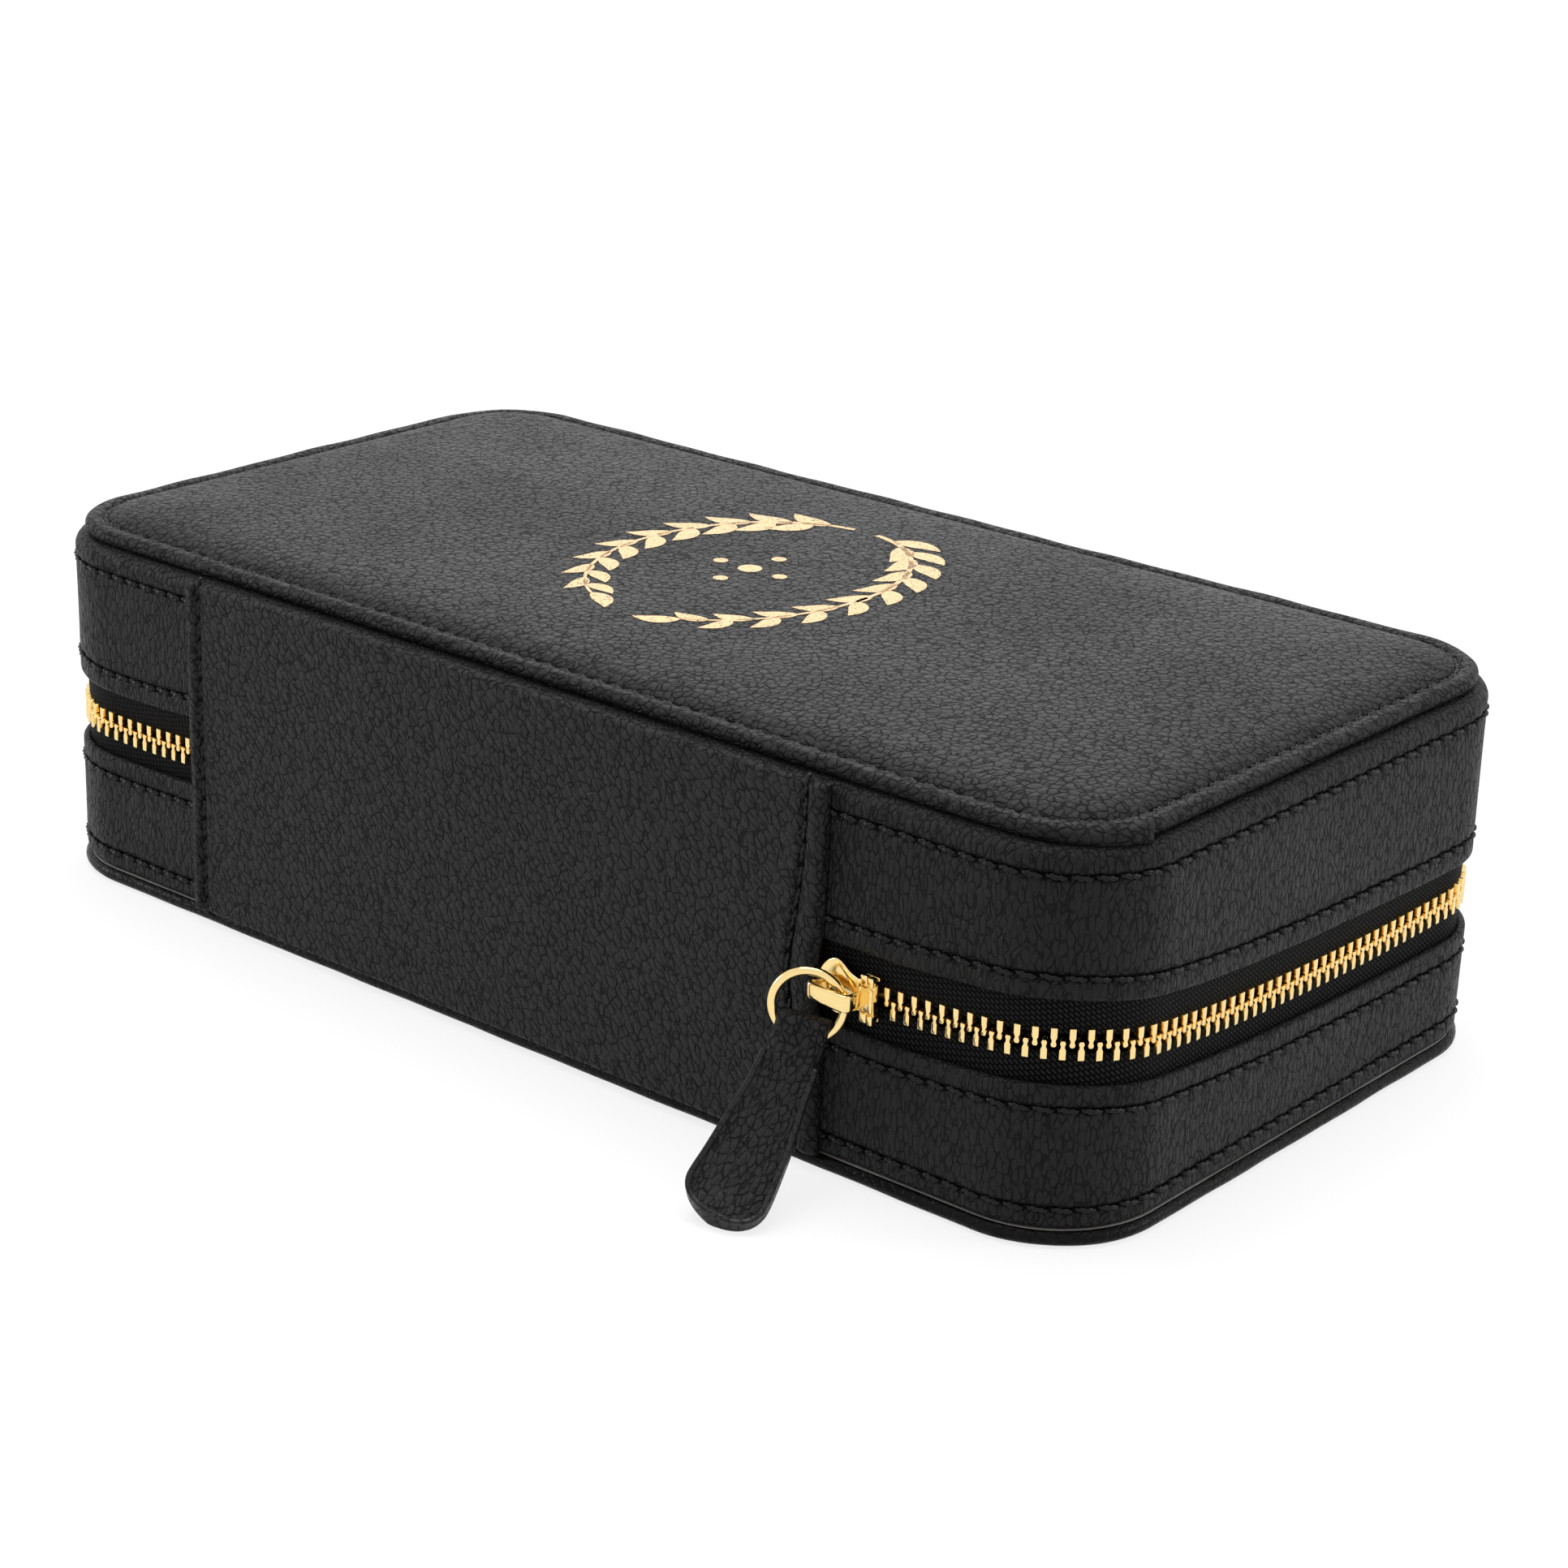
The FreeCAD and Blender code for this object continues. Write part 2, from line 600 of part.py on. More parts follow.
def tab_section(centre, across, forward, width, thickness):
    """A flat section of the tab with its corners cut back, as a closed wire."""
    up = across.cross(forward)
    up.normalize()
    half_width = width / 2
    half_thickness = thickness / 2
    cut = thickness / 5
    outline = (
        (half_width, half_thickness - cut),
        (half_width - cut, half_thickness),
        (cut - half_width, half_thickness),
        (-half_width, half_thickness - cut),
        (-half_width, cut - half_thickness),
        (cut - half_width, -half_thickness),
        (half_width - cut, -half_thickness),
        (half_width, cut - half_thickness),
    )
    points = [centre + across * a + up * b for a, b in outline]
    return Part.makePolygon(points + points[:1])


def tab_stations():
    """Sections of the leather tab from its fold to its round tip: (share of length, width, thickness)."""
    neck = TAB_TOP_WIDTH
    wide = TAB_TIP_WIDTH
    return (
        (-0.13, neck, 0.7 * TAB_LOOP_THICKNESS),
        (-0.09, neck, TAB_LOOP_THICKNESS),
        (0.0, neck, TAB_LOOP_THICKNESS),
        (0.08, neck, TAB_LOOP_THICKNESS),
        (0.25, neck + 0.12 * (wide - neck), TAB_THICKNESS),
        (0.5, neck + 0.62 * (wide - neck), TAB_THICKNESS),
        (0.75, wide, TAB_THICKNESS),
        (0.87, 0.93 * wide, TAB_THICKNESS),
        (0.95, 0.68 * wide, TAB_THICKNESS),
        (1.0, 0.36 * wide, TAB_THICKNESS),
    )


def tab_path(share):
    """A point on the tab's middle line and its direction, from the loop in the ring to the tip."""
    start, _ = ring_point(TAB_ANGLE)
    end_level = TAB_THICKNESS / 2 + TAB_FLOOR_GAP
    fall = start.z - end_level
    reach = math.sqrt(TAB_LENGTH**2 - fall**2)
    veer = math.radians(TAB_VEER)
    out = Vector(-math.sin(veer), math.cos(veer), 0)

    def at(t):
        level = end_level + fall * (1 - t) ** (1 + TAB_BOW)
        return start + out * (reach * t) + Vector(0, 0, level - start.z)

    step = 0.001
    inside = min(max(share, 0.0), 1.0 - step)
    forward = at(inside + step) - at(inside)
    forward.normalize()
    middle, _, _ = ring_axes()
    away = start - middle
    away.normalize()
    if share < 0:
        return start + away * (share * TAB_LENGTH), away
    bent = min(share / TAB_BEND_SHARE, 1.0)
    direction = away * (1 - bent) + forward * bent
    direction.normalize()
    return at(inside) + forward * ((share - inside) * TAB_LENGTH), direction


def pull_tab():
    """The leather pull: a strip folded round the ring, widening to a round tip that rests on the table."""
    _, along = ring_point(TAB_ANGLE)
    level_across = Vector(along.x, along.y, 0)
    level_across.normalize()
    wires = []
    for share, width, thickness in tab_stations():
        centre, forward = tab_path(share)
        twist = min(max(share / 0.6, 0.0), 1.0)
        across = along * (1 - twist) + level_across * twist
        across = across - forward * across.dot(forward)
        across.normalize()
        wires.append(tab_section(centre, across, forward, width, thickness))
    return Part.makeLoft(wires, True, True).cut(ring_wire(RING_WIRE + TAB_BORE_SLACK))


def inside_bounds():
    """Half length and half depth of the lined base, less the gap that soft pieces keep."""
    return CASE_LENGTH / 2 - LINING_IN - SOFT_GAP, CASE_DEPTH / 2 - LINING_IN - SOFT_GAP


def ring_rolls():
    """Padded rolls that grip rings between them, side by side at the +X end of the base."""
    half_x, half_y = inside_bounds()
    floor = BOTTOM_THICKNESS + LINING
    front = -half_y + CORNER_RADIUS / 3
    back = half_y - HINGE_LINING_THICKNESS - CORNER_RADIUS / 3
    pitch = (back - front) / RING_ROLL_COUNT
    end = half_x - CORNER_RADIUS / 4
    rolls = {}
    for index in range(RING_ROLL_COUNT):
        near = front + index * pitch + RING_ROLL_GAP / 2
        far = near + pitch - RING_ROLL_GAP
        roll = box(end - RING_ROLL_LENGTH, end, near, far, floor, floor + RING_ROLL_HEIGHT)
        tops = [
            edge
            for edge in roll.Edges
            if abs(edge.BoundBox.ZMin - floor - RING_ROLL_HEIGHT) < 1e-6
            and edge.BoundBox.XMax - edge.BoundBox.XMin > 1.0
        ]
        rolls["ring_roll_%d" % (index + 1)] = roll.makeFillet(RING_ROLL_CROWN, tops)
    return rolls


def dividers():
    """Covered boards that part the base into compartments."""
    half_x, half_y = inside_bounds()
    floor = BOTTOM_THICKNESS + LINING
    top = floor + DIVIDER_HEIGHT
    back = half_y - HINGE_LINING_THICKNESS
    section_x = half_x - CORNER_RADIUS / 4 - RING_ROLL_LENGTH - SOFT_GAP - DIVIDER_THICKNESS
    half = DIVIDER_THICKNESS / 2
    made = {
        "ring_section_divider": box(section_x, section_x + DIVIDER_THICKNESS, -half_y, back, floor, top),
        "long_divider": box(
            -half_x, section_x - FIT, LONG_DIVIDER_Y - half, LONG_DIVIDER_Y + half, floor, top
        ),
    }
    bay = (section_x + half_x) / (CROSS_DIVIDERS + 1)
    for index in range(CROSS_DIVIDERS):
        middle = -half_x + (index + 1) * bay
        made["cross_divider_%d" % (index + 1)] = box(
            middle - half, middle + half, LONG_DIVIDER_Y + half + FIT, back, floor, top
        )
    return made


def mirror():
    """The lid's glass mirror, glued to the lining."""
    top = LID_WALL_TOP - LINING
    outline = rounded_wire(MIRROR_LENGTH, MIRROR_DEPTH, MIRROR_RADIUS, top - MIRROR_THICKNESS)
    return slab(outline, MIRROR_THICKNESS)


def mirror_frame():
    """The covered surround that hides the mirror's edge."""
    top = LID_WALL_TOP - LINING
    depth = MIRROR_THICKNESS + MIRROR_FRAME_LIP
    grow = 2 * MIRROR_FRAME_WIDTH
    radius = MIRROR_RADIUS + MIRROR_FRAME_WIDTH
    outer = slab(rounded_wire(MIRROR_LENGTH + grow, MIRROR_DEPTH + grow, radius, top - depth), depth)
    gap = 2 * FIT
    opening = rounded_wire(MIRROR_LENGTH + gap, MIRROR_DEPTH + gap, MIRROR_RADIUS + FIT, top - depth)
    return outer.cut(slab(opening, depth))


def hinge_line():
    """The y and z of the lid's turning line. The fold bends to a quarter circle, so it lies outside it."""
    fold_height = LID_WALL_BOTTOM - BASE_WALL_TOP
    return SPINE_FACE + fold_height * (2 / math.pi - 0.5), BASE_WALL_TOP + fold_height / 2


def all_pieces():
    """Every piece of the case by name."""
    fold_bottom = BASE_WALL_TOP
    fold_top = LID_WALL_BOTTOM
    pieces = {
        "bottom_cover": bottom_cover(),
        "bottom_board": bottom_board(),
        "base_wall_leather": base_wall(),
        "base_frame": base_frame(),
        "base_lining": base_lining(),
        "zip_tape_lower": zip_tape_lower(),
        "zip_stop": zip_stop(),
        "spine_lower": spine_strip(SPINE_LEFT, SPINE_FLOOR_GAP, fold_bottom),
        "spine_fold": spine_strip(FOLD_LEFT, fold_bottom, fold_top),
        "spine_upper": spine_strip(SPINE_LEFT, fold_top, LID_WALL_TOP - SPINE_END_GAP),
        "hinge_lining": hinge_lining(),
        "lid_top_cover": lid_top_cover(),
        "lid_foam_pad": lid_pad(),
        "lid_board": lid_board(),
        "lid_wall_leather": lid_wall(),
        "lid_frame": lid_frame(),
        "lid_lining": lid_lining(),
        "zip_tape_upper": zip_tape_upper(),
        "zip_tape_closed_end": zip_tape_closed_end(),
        "mirror": mirror(),
        "mirror_frame": mirror_frame(),
        "slider_body": slider_body(),
        "slider_bridge": slider_bridge(),
        "pull_ring": ring_wire(RING_WIRE),
        "pull_tab": pull_tab(),
    }
    pieces.update(teeth_rows())
    pieces.update(ring_rolls())
    pieces.update(dividers())
    return pieces


os.makedirs("parts", exist_ok=True)
for name, shape in all_pieces().items():
    shape.exportStep("parts/%s.step" % name)
    solids = shape.Solids
    volume = sum(solid.Volume for solid in solids)
    print(name, "solids", len(solids), "valid", shape.isValid(), "volume", round(volume, 1))
middle, across, axis = ring_axes()
print("ring middle", [round(v, 3) for v in middle], "axis", [round(v, 4) for v in axis])
print("hinge line", [round(v, 3) for v in hinge_line()])
print("ring seat", SLIDER_REAR + RING_SEAT_REAR, PLATE_OUTER + RING_SEAT_OUT, ZIP_LEVEL)
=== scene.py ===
"""Dresses the solids of a zipped leather jewellery case: leather, stitching, zip, pull, lining and stage."""

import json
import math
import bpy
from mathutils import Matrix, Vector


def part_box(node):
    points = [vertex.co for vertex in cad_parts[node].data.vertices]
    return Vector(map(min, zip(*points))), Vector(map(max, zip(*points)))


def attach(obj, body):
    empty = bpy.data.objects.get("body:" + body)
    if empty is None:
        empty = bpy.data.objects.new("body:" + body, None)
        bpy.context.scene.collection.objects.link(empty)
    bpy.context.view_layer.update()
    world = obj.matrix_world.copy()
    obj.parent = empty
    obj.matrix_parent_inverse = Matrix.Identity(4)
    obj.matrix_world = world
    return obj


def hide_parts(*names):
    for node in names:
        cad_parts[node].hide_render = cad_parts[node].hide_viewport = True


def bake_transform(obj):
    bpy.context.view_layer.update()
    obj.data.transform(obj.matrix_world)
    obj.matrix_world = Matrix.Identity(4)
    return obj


bl_info = {
    "name": "Zipped Jewellery Case",
    "version": (1, 0, 0),
    "blender": (4, 5, 0),
    "location": "View3D > Sidebar > Jewellery Case",
    "description": "Makes the leather, stitching, zip, pull and lining of a zipped jewellery case",
    "category": "Object",
}

import bmesh
import bpy
import numpy as np
from bpy.props import FloatProperty, FloatVectorProperty, PointerProperty
from mathutils import Matrix, Vector

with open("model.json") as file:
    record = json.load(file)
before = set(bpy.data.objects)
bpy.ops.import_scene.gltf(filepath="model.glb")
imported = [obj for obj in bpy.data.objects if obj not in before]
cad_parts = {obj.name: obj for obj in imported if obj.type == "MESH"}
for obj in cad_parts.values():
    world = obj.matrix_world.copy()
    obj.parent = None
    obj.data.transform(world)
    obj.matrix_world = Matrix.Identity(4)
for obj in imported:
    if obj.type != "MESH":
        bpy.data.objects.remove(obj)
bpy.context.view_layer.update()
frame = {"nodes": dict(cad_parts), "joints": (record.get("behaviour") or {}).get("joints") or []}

MM = 0.001
JOINTS = {joint["name"]: joint for joint in frame["joints"]}
LID_WALL_LOW, LID_WALL_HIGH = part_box("lid_wall_leather")
BASE_WALL_LOW, BASE_WALL_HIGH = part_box("base_wall_leather")
BOTTOM_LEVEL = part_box("bottom_cover")[0].z
SPINE_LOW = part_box("spine_lower")[0]
SPINE_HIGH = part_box("spine_upper")[1]
SLIDER_LOW, SLIDER_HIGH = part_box("slider_body")
CASE_LENGTH = LID_WALL_HIGH.x - LID_WALL_LOW.x
CASE_DEPTH = LID_WALL_HIGH.y - LID_WALL_LOW.y
CORNER = 19 * MM
CASE = (CASE_LENGTH, CASE_DEPTH, CORNER)
ZIP_LEVEL = JOINTS["ring_swing"]["pos_m"][2]
LEATHER = 1.4 * MM
TAPE_MIDDLE = 1.7 * MM
TAPE_PLANE = CASE_DEPTH / 2 - TAPE_MIDDLE
ZIP_FALL = 4.4 * MM
LID_EDGE = LID_WALL_LOW.z + ZIP_FALL * (TAPE_PLANE / CASE_DEPTH + 0.5)
BASE_EDGE = BASE_WALL_HIGH.z
DEEPEST_OFFSET = 15 * MM
SHARP_ANGLE = math.radians(25)
TOOTH_PITCH = 2.53 * MM
TOOTH_LENGTH = 1.12 * MM


# Sizes, colours and light that a user may change


def length_setting(name, description, millimetres):
    """A length, given in millimetres and kept in metres."""
    default = millimetres * MM
    return FloatProperty(name=name, description=description, default=default, unit="LENGTH", precision=5)


def colour_setting(name, description, default):
    """A colour."""
    return FloatVectorProperty(
        name=name, description=description, subtype="COLOR", default=default, min=0, max=1
    )


def power_setting(name, description, watts):
    """A lamp's power."""
    return FloatProperty(name=name, description=description, default=watts, subtype="POWER", min=0)


class CaseSizes(bpy.types.PropertyGroup):
    """Sizes of the sewing, grain and foil."""

    stitch_pitch: length_setting("Stitch Pitch", "From one stitch to the next", 3.6)
    stitch_length: length_setting("Stitch Length", "Thread that shows in one stitch", 3.5)
    thread_radius: length_setting("Thread Radius", "Half the thread's thickness", 0.42)
    seam_depth: length_setting("Seam Depth", "How far a seam pulls the leather in", 0.65)
    pebble: length_setting("Pebble", "Width of one pebble of the grain", 1.25)
    wreath_reach: length_setting("Wreath Reach", "Half the foil wreath's longer side", 31)


class CaseColours(bpy.types.PropertyGroup):
    """Colours of the case's materials."""

    leather: colour_setting("Leather", "Tops of the leather grain", (0.0115, 0.0115, 0.0122))
    # Crease is painted shade: the colour that the grain's valleys are darkened towards.
    crease: colour_setting("Crease", "Valleys of the leather grain", (0.0022, 0.0022, 0.0024))
    thread: colour_setting("Thread", "Sewing thread", (0.0016, 0.0016, 0.0018))
    tape: colour_setting("Tape", "Zip tape", (0.0022, 0.0022, 0.0024))
    gold: colour_setting("Gold", "Polished metal", (0.95, 0.72, 0.33))
    foil: colour_setting("Foil", "Gold foil on the lid", (0.70, 0.48, 0.25))
    velvet: colour_setting(
        "Velvet", "Lining cloth, not shown while the frame's own is used", (0.016, 0.015, 0.016)
    )
    board: colour_setting("Board", "Grey board inside the walls", (0.30, 0.29, 0.27))


class CaseStage(bpy.types.PropertyGroup):
    """Levels of the studio light."""

    overhead: power_setting("Overhead", "Power of the softbox above the case", 12.0)
    back: power_setting("Back", "Power of the softbox behind the case", 2.0)
    right: power_setting("Right", "Power of the softbox beside the slider's end", 2.8)
    left: power_setting("Left", "Power of the softbox beside the far end", 3.2)
    room: FloatProperty(
        name="Room", description="Level of the white room's light on the case", default=0.7, min=0, max=1
    )
    floor: colour_setting("Floor", "Floor colour", (0.97, 0.97, 0.97))


# Shapes


def full_turn(count):
    """Angles spread evenly over a whole turn."""
    return np.linspace(0, 2 * math.pi, count, endpoint=False)


def signed_power(values, power):
    """Values raised to a power, with their signs kept. A power below 1 squares off a circle."""
    return np.sign(values) * np.abs(values) ** power


def bell(distance, reach):
    """1 at no distance, fading to nothing beyond a reach."""
    return np.exp(-((distance / reach) ** 2))


def unit(vectors):
    """Rows of vectors, each made one long."""
    return vectors / np.linalg.norm(vectors, axis=1, keepdims=True)


def grid_faces(first, second, wrap_first, wrap_second):
    """Quads over a grid of first x second points."""
    row, column = np.meshgrid(
        np.arange(first if wrap_first else first - 1),
        np.arange(second if wrap_second else second - 1),
        indexing="ij",
    )
    next_row = (row + 1) % first
    next_column = (column + 1) % second
    corners = (
        row * second + column,
        next_row * second + column,
        next_row * second + next_column,
        row * second + next_column,
    )
    return [tuple(quad) for quad in np.stack(corners, -1).reshape(-1, 4).tolist()]


def loft(loops, closed=False):
    """A skin over loops of equal point count, capped at its ends unless it closes on itself."""
    loops = np.asarray(loops, float)
    count, size = loops.shape[:2]
    faces = grid_faces(count, size, closed, True)
    if not closed:
        faces.append(tuple(range(size)))
        faces.append(tuple(range(count * size - 1, (count - 1) * size - 1, -1)))
    return loops.reshape(-1, 3), faces


def merge(shapes):
    """Several shapes as one list of points and one of faces."""
    points = []
    faces = []
    total = 0
    for shape_points, shape_faces in shapes:
        points.append(np.asarray(shape_points, float))
        faces += [tuple(index + total for index in face) for face in shape_faces]
        total += len(shape_points)
    return np.concatenate(points), faces


def scatter(shape, origins, axes):
    """Copies of a shape, one at each origin, with its own axes as the rows of axes."""
    points, faces = shape
    points = np.asarray(points, float)
    placed = np.einsum("kc,mcd->mkd", points, axes) + origins[:, None, :]
    copies = []
    for index in range(len(origins)):
        shift = index * len(points)
        copies += [tuple(corner + shift for corner in face) for face in faces]
    return placed.reshape(-1, 3), copies


def bevelled_prism(outline, low, high, bevel, segments=2):
    """An outline in the XZ plane, thickened along Y from low to high, with its edges rounded."""
    mesh = bmesh.new()
    face = mesh.faces.new([mesh.verts.new((x, low, z)) for x, z in outline])
    grown = bmesh.ops.extrude_face_region(mesh, geom=[face])["geom"]
    moved = [item for item in grown if isinstance(item, bmesh.types.BMVert)]
    bmesh.ops.translate(mesh, verts=moved, vec=(0, high - low, 0))
    bmesh.ops.recalc_face_normals(mesh, faces=mesh.faces)
    sharp = [edge for edge in mesh.edges if edge.calc_face_angle(0) > SHARP_ANGLE]
    bmesh.ops.bevel(
        mesh, geom=sharp, offset=bevel, segments=segments, profile=0.5, affect="EDGES", clamp_overlap=True
    )
    mesh.verts.index_update()
    points = np.array([vert.co for vert in mesh.verts])
    faces = [tuple(vert.index for vert in face.verts) for face in mesh.faces]
    mesh.free()
    return points, faces


def rounded_box(low, high, bevel, segments=3):
    """A box between two corners with its edges rounded."""
    outline = ((low[0], low[2]), (high[0], low[2]), (high[0], high[2]), (low[0], high[2]))
    return bevelled_prism(outline, low[1], high[1], bevel, segments)


def smooth_path(points, steps):
    """A smooth curve through points, with steps spans between each pair."""
    points = np.asarray(points, float)
    padded = np.concatenate((2 * points[:1] - points[1:2], points, 2 * points[-1:] - points[-2:-1]))
    share = np.linspace(0, 1, steps, endpoint=False)[:, None]
    curve = []
    for before, start, end, after in zip(padded, padded[1:], padded[2:], padded[3:]):
        curve.append(
            0.5
            * (
                2 * start
                + (end - before) * share
                + (2 * before - 5 * start + 4 * end - after) * share**2
                + (3 * start - before - 3 * end + after) * share**3
            )
        )
    return np.concatenate((*curve, points[-1:]))


def run_length(size, inset=0.0):
    """Distance once round a rounded rectangle, at an inset."""
    length, depth, corner = size
    return 2 * (length + depth - 4 * corner) + 2 * math.pi * (corner - inset)


def run_round(size, lengths, inset=0.0, start_x=0.0):
    """Points and outward directions round a rounded rectangle, from start_x on its back, towards -X first."""
    length, depth, corner = size
    radius = corner - inset
    half_x = length / 2 - corner
    half_y = depth / 2 - corner
    quarter = radius * math.pi / 2
    sides = (start_x + half_x, 2 * half_y, 2 * half_x, 2 * half_y, half_x - start_x)
    corners = ((-half_x, half_y), (-half_x, -half_y), (half_x, -half_y), (half_x, half_y))
    lengths = np.mod(np.asarray(lengths, float), run_length(size, inset))
    middles = np.zeros((len(lengths), 2))
    angles = np.zeros(len(lengths))
    origin = np.array((start_x, half_y))
    done = 0.0
    for index, side in enumerate(sides):
        turn = math.pi / 2 * (1 + index)
        on_side = (lengths >= done) & (lengths <= done + side)
        heading = np.array((math.cos(turn + math.pi / 2), math.sin(turn + math.pi / 2)))
        middles[on_side] = origin + (lengths[on_side] - done)[:, None] * heading
        angles[on_side] = turn
        done += side
        if index < len(corners):
            origin = np.array(corners[index])
            on_corner = (lengths > done) & (lengths < done + quarter)
            middles[on_corner] = origin
            angles[on_corner] = turn + (lengths[on_corner] - done) / radius
            done += quarter
    outward = np.stack((np.cos(angles), np.sin(angles)), 1)
    return middles + outward * radius, outward


LEVEL_WANDER = (
    (-107.0, 51.5, 20.0, 0.9, 1.5, 1.5),
    (-80.0, 59.0, 18.0, -0.8, -0.3, -0.4),
    (-107.0, -51.5, 26.0, 0.0, 0.9, 0.0),
    (90.0, 59.0, 22.0, -0.9, -1.1, -1.6),
)
SIDE_SAG = (1.4, 1.2, 1.2)


def fallen(level, x, y, share=1.0):
    """The height of a level that falls towards the front with the zip, by a share of the zip's fall.

    The leather isn't quite even: each row of LEVEL_WANDER is a place, its reach, and how far the
    base's edge, the zip and the lid's edge rise there. SIDE_SAG is how far they sag along the short sides.
    """
    ahead = (TAPE_PLANE - y) / CASE_DEPTH
    levels = (BASE_EDGE, ZIP_LEVEL, LID_EDGE)
    end = np.clip(np.abs(x) / (CASE_LENGTH / 2) - 0.9, 0, 0.1) / 0.1
    rise = -end * np.clip(np.sin(math.pi * ahead), 0, 1) * np.interp(level, levels, SIDE_SAG)
    for place_x, place_y, reach, *rises in LEVEL_WANDER:
        away = np.hypot(x / MM - place_x, y / MM - place_y)
        rise = rise + bell(away, reach) * np.interp(level, levels, rises)
    return level + share * (rise * MM - ZIP_FALL * ahead)


def ring_stack(size, profile, closed, spacing=0.9 * MM, lift=None, run=None, start_x=0.0, fall=None):
    """The skin of a profile of (inset, level) points carried round a rounded rectangle, and its lay, which
    the tape's woven pattern follows.

    closed joins the profile's ends; otherwise they are capped. lift(run, inset, level) raises the surface.
    run gives the stretch to follow where the piece doesn't go all the way round.
    fall(level) is the share of the zip's fall towards the front that the profile takes at a level.
    """
    profile = np.asarray(profile, float)
    whole = run is None
    if whole:
        count = round(run_length(size) / spacing)
        run = np.arange(count) * run_length(size) / count
    points, outward = run_round(size, run, 0.0, start_x)
    if closed:
        slope = np.roll(profile, -1, 0) - np.roll(profile, 1, 0)
    else:
        slope = np.gradient(profile, axis=0)
    slope /= np.maximum(np.linalg.norm(slope, axis=1, keepdims=True), 1e-12)
    insets = np.repeat(profile[None, :, 0], len(run), 0)
    levels = np.repeat(profile[None, :, 1], len(run), 0)
    if lift:
        height = lift(run[:, None], insets, levels)
        insets = insets - height * slope[None, :, 1]
        levels = levels + height * slope[None, :, 0]
    offset = np.minimum(insets, DEEPEST_OFFSET)
    flat = points[:, None, :] - outward[:, None, :] * offset[..., None]
    shrink_x = (size[0] / 2 - insets) / (size[0] / 2 - offset)
    shrink_y = (size[1] / 2 - insets) / (size[1] / 2 - offset)
    grid = np.stack((flat[..., 0] * shrink_x, flat[..., 1] * shrink_y, levels), -1)
    if fall:
        grid[..., 2] = fallen(levels, grid[..., 0], grid[..., 1], fall(profile[None, :, 1]))
    faces = grid_faces(len(run), len(profile), whole, closed)
    last = len(profile) - 1
    if whole and not closed:
        faces.append(tuple(index * len(profile) for index in reversed(range(len(run)))))
        faces.append(tuple(index * len(profile) + last for index in range(len(run))))
    if not whole:
        faces.append(tuple(reversed(range(len(profile)))))
        faces.append(tuple(range((len(run) - 1) * len(profile), len(run) * len(profile))))
    travel = np.concatenate(((0,), np.cumsum(np.linalg.norm(np.diff(profile, axis=0), axis=1))))
    lay = np.stack(np.broadcast_arrays(run[:, None], travel[None, :], 0.0), -1).reshape(-1, 3)
    return (grid.reshape(-1, 3), faces), lay


def add_piece(
    name, shape, material, body=None, stands_for=(), open_skin=False, flat_angle=None, lay=None
):
    """A mesh object from points and faces, riding on its body and standing for the solids it replaces."""
    points, faces = shape
    mesh = bpy.data.meshes.new(name)
    mesh.from_pydata(np.asarray(points).tolist(), [], faces)
    if not open_skin:
        work = bmesh.new()
        work.from_mesh(mesh)
        bmesh.ops.recalc_face_normals(work, faces=work.faces)
        work.to_mesh(mesh)
        work.free()
    mesh.shade_smooth()
    if flat_angle:
        mesh.set_sharp_from_angle(angle=math.radians(flat_angle))
    if lay is not None:
        attribute = mesh.attributes.new("lay", "FLOAT_VECTOR", "POINT")
        attribute.data.foreach_set("vector", np.asarray(lay, np.float32).ravel())
    mesh.materials.append(material)
    piece = bpy.data.objects.new(name, mesh)
    bpy.context.scene.collection.objects.link(piece)
    if stands_for:
        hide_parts(*stands_for)
    if body:
        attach(piece, body)
    return piece


# Materials


def add_node(tree, kind, inputs=None, **settings):
    """A shader node, with its settings and its inputs linked or set."""
    node = tree.nodes.new(kind)
    for key, value in settings.items():
        setattr(node, key, value)
    connect(tree, node, inputs or {})
    return node


def connect(tree, node, inputs):
    """Sets or links a node's inputs."""
    for key, value in inputs.items():
        if isinstance(value, bpy.types.NodeSocket):
            tree.links.new(value, node.inputs[key])
        else:
            node.inputs[key].default_value = value


def calculate(tree, operation, first, second):
    """A number worked out from two others."""
    return add_node(tree, "ShaderNodeMath", {0: first, 1: second}, operation=operation).outputs[0]


def remap(tree, value, low, high, new_low, new_high):
    """A number eased from one span to another."""
    inputs = {"Value": value, "From Min": low, "From Max": high, "To Min": new_low, "To Max": new_high}
    return add_node(tree, "ShaderNodeMapRange", inputs, interpolation_type="SMOOTHSTEP").outputs["Result"]


def mix_colours(tree, share, first, second):
    """One colour fading to another by share."""
    inputs = {0: share}
    for index, colour in ((6, first), (7, second)):
        inputs[index] = colour if isinstance(colour, bpy.types.NodeSocket) else (*colour, 1.0)
    return add_node(tree, "ShaderNodeMix", inputs, data_type="RGBA").outputs[2]


def shaded(colour, share):
    """A colour made darker or lighter."""
    return [share * part for part in colour]


def object_place(tree):
    """Places on a piece, in its own axes."""
    return add_node(tree, "ShaderNodeTexCoord").outputs["Object"]


def noise(tree, place, scale, detail=2.0, output="Fac"):
    """Cloudy noise that grows finer with scale."""
    inputs = {"Vector": place, "Scale": scale, "Detail": detail}
    return add_node(tree, "ShaderNodeTexNoise", inputs).outputs[output]


def bump(tree, height, strength, distance):
    """Normals of a surface raised by a height."""
    inputs = {"Height": height, "Strength": strength, "Distance": distance}
    return add_node(tree, "ShaderNodeBump", inputs).outputs[0]


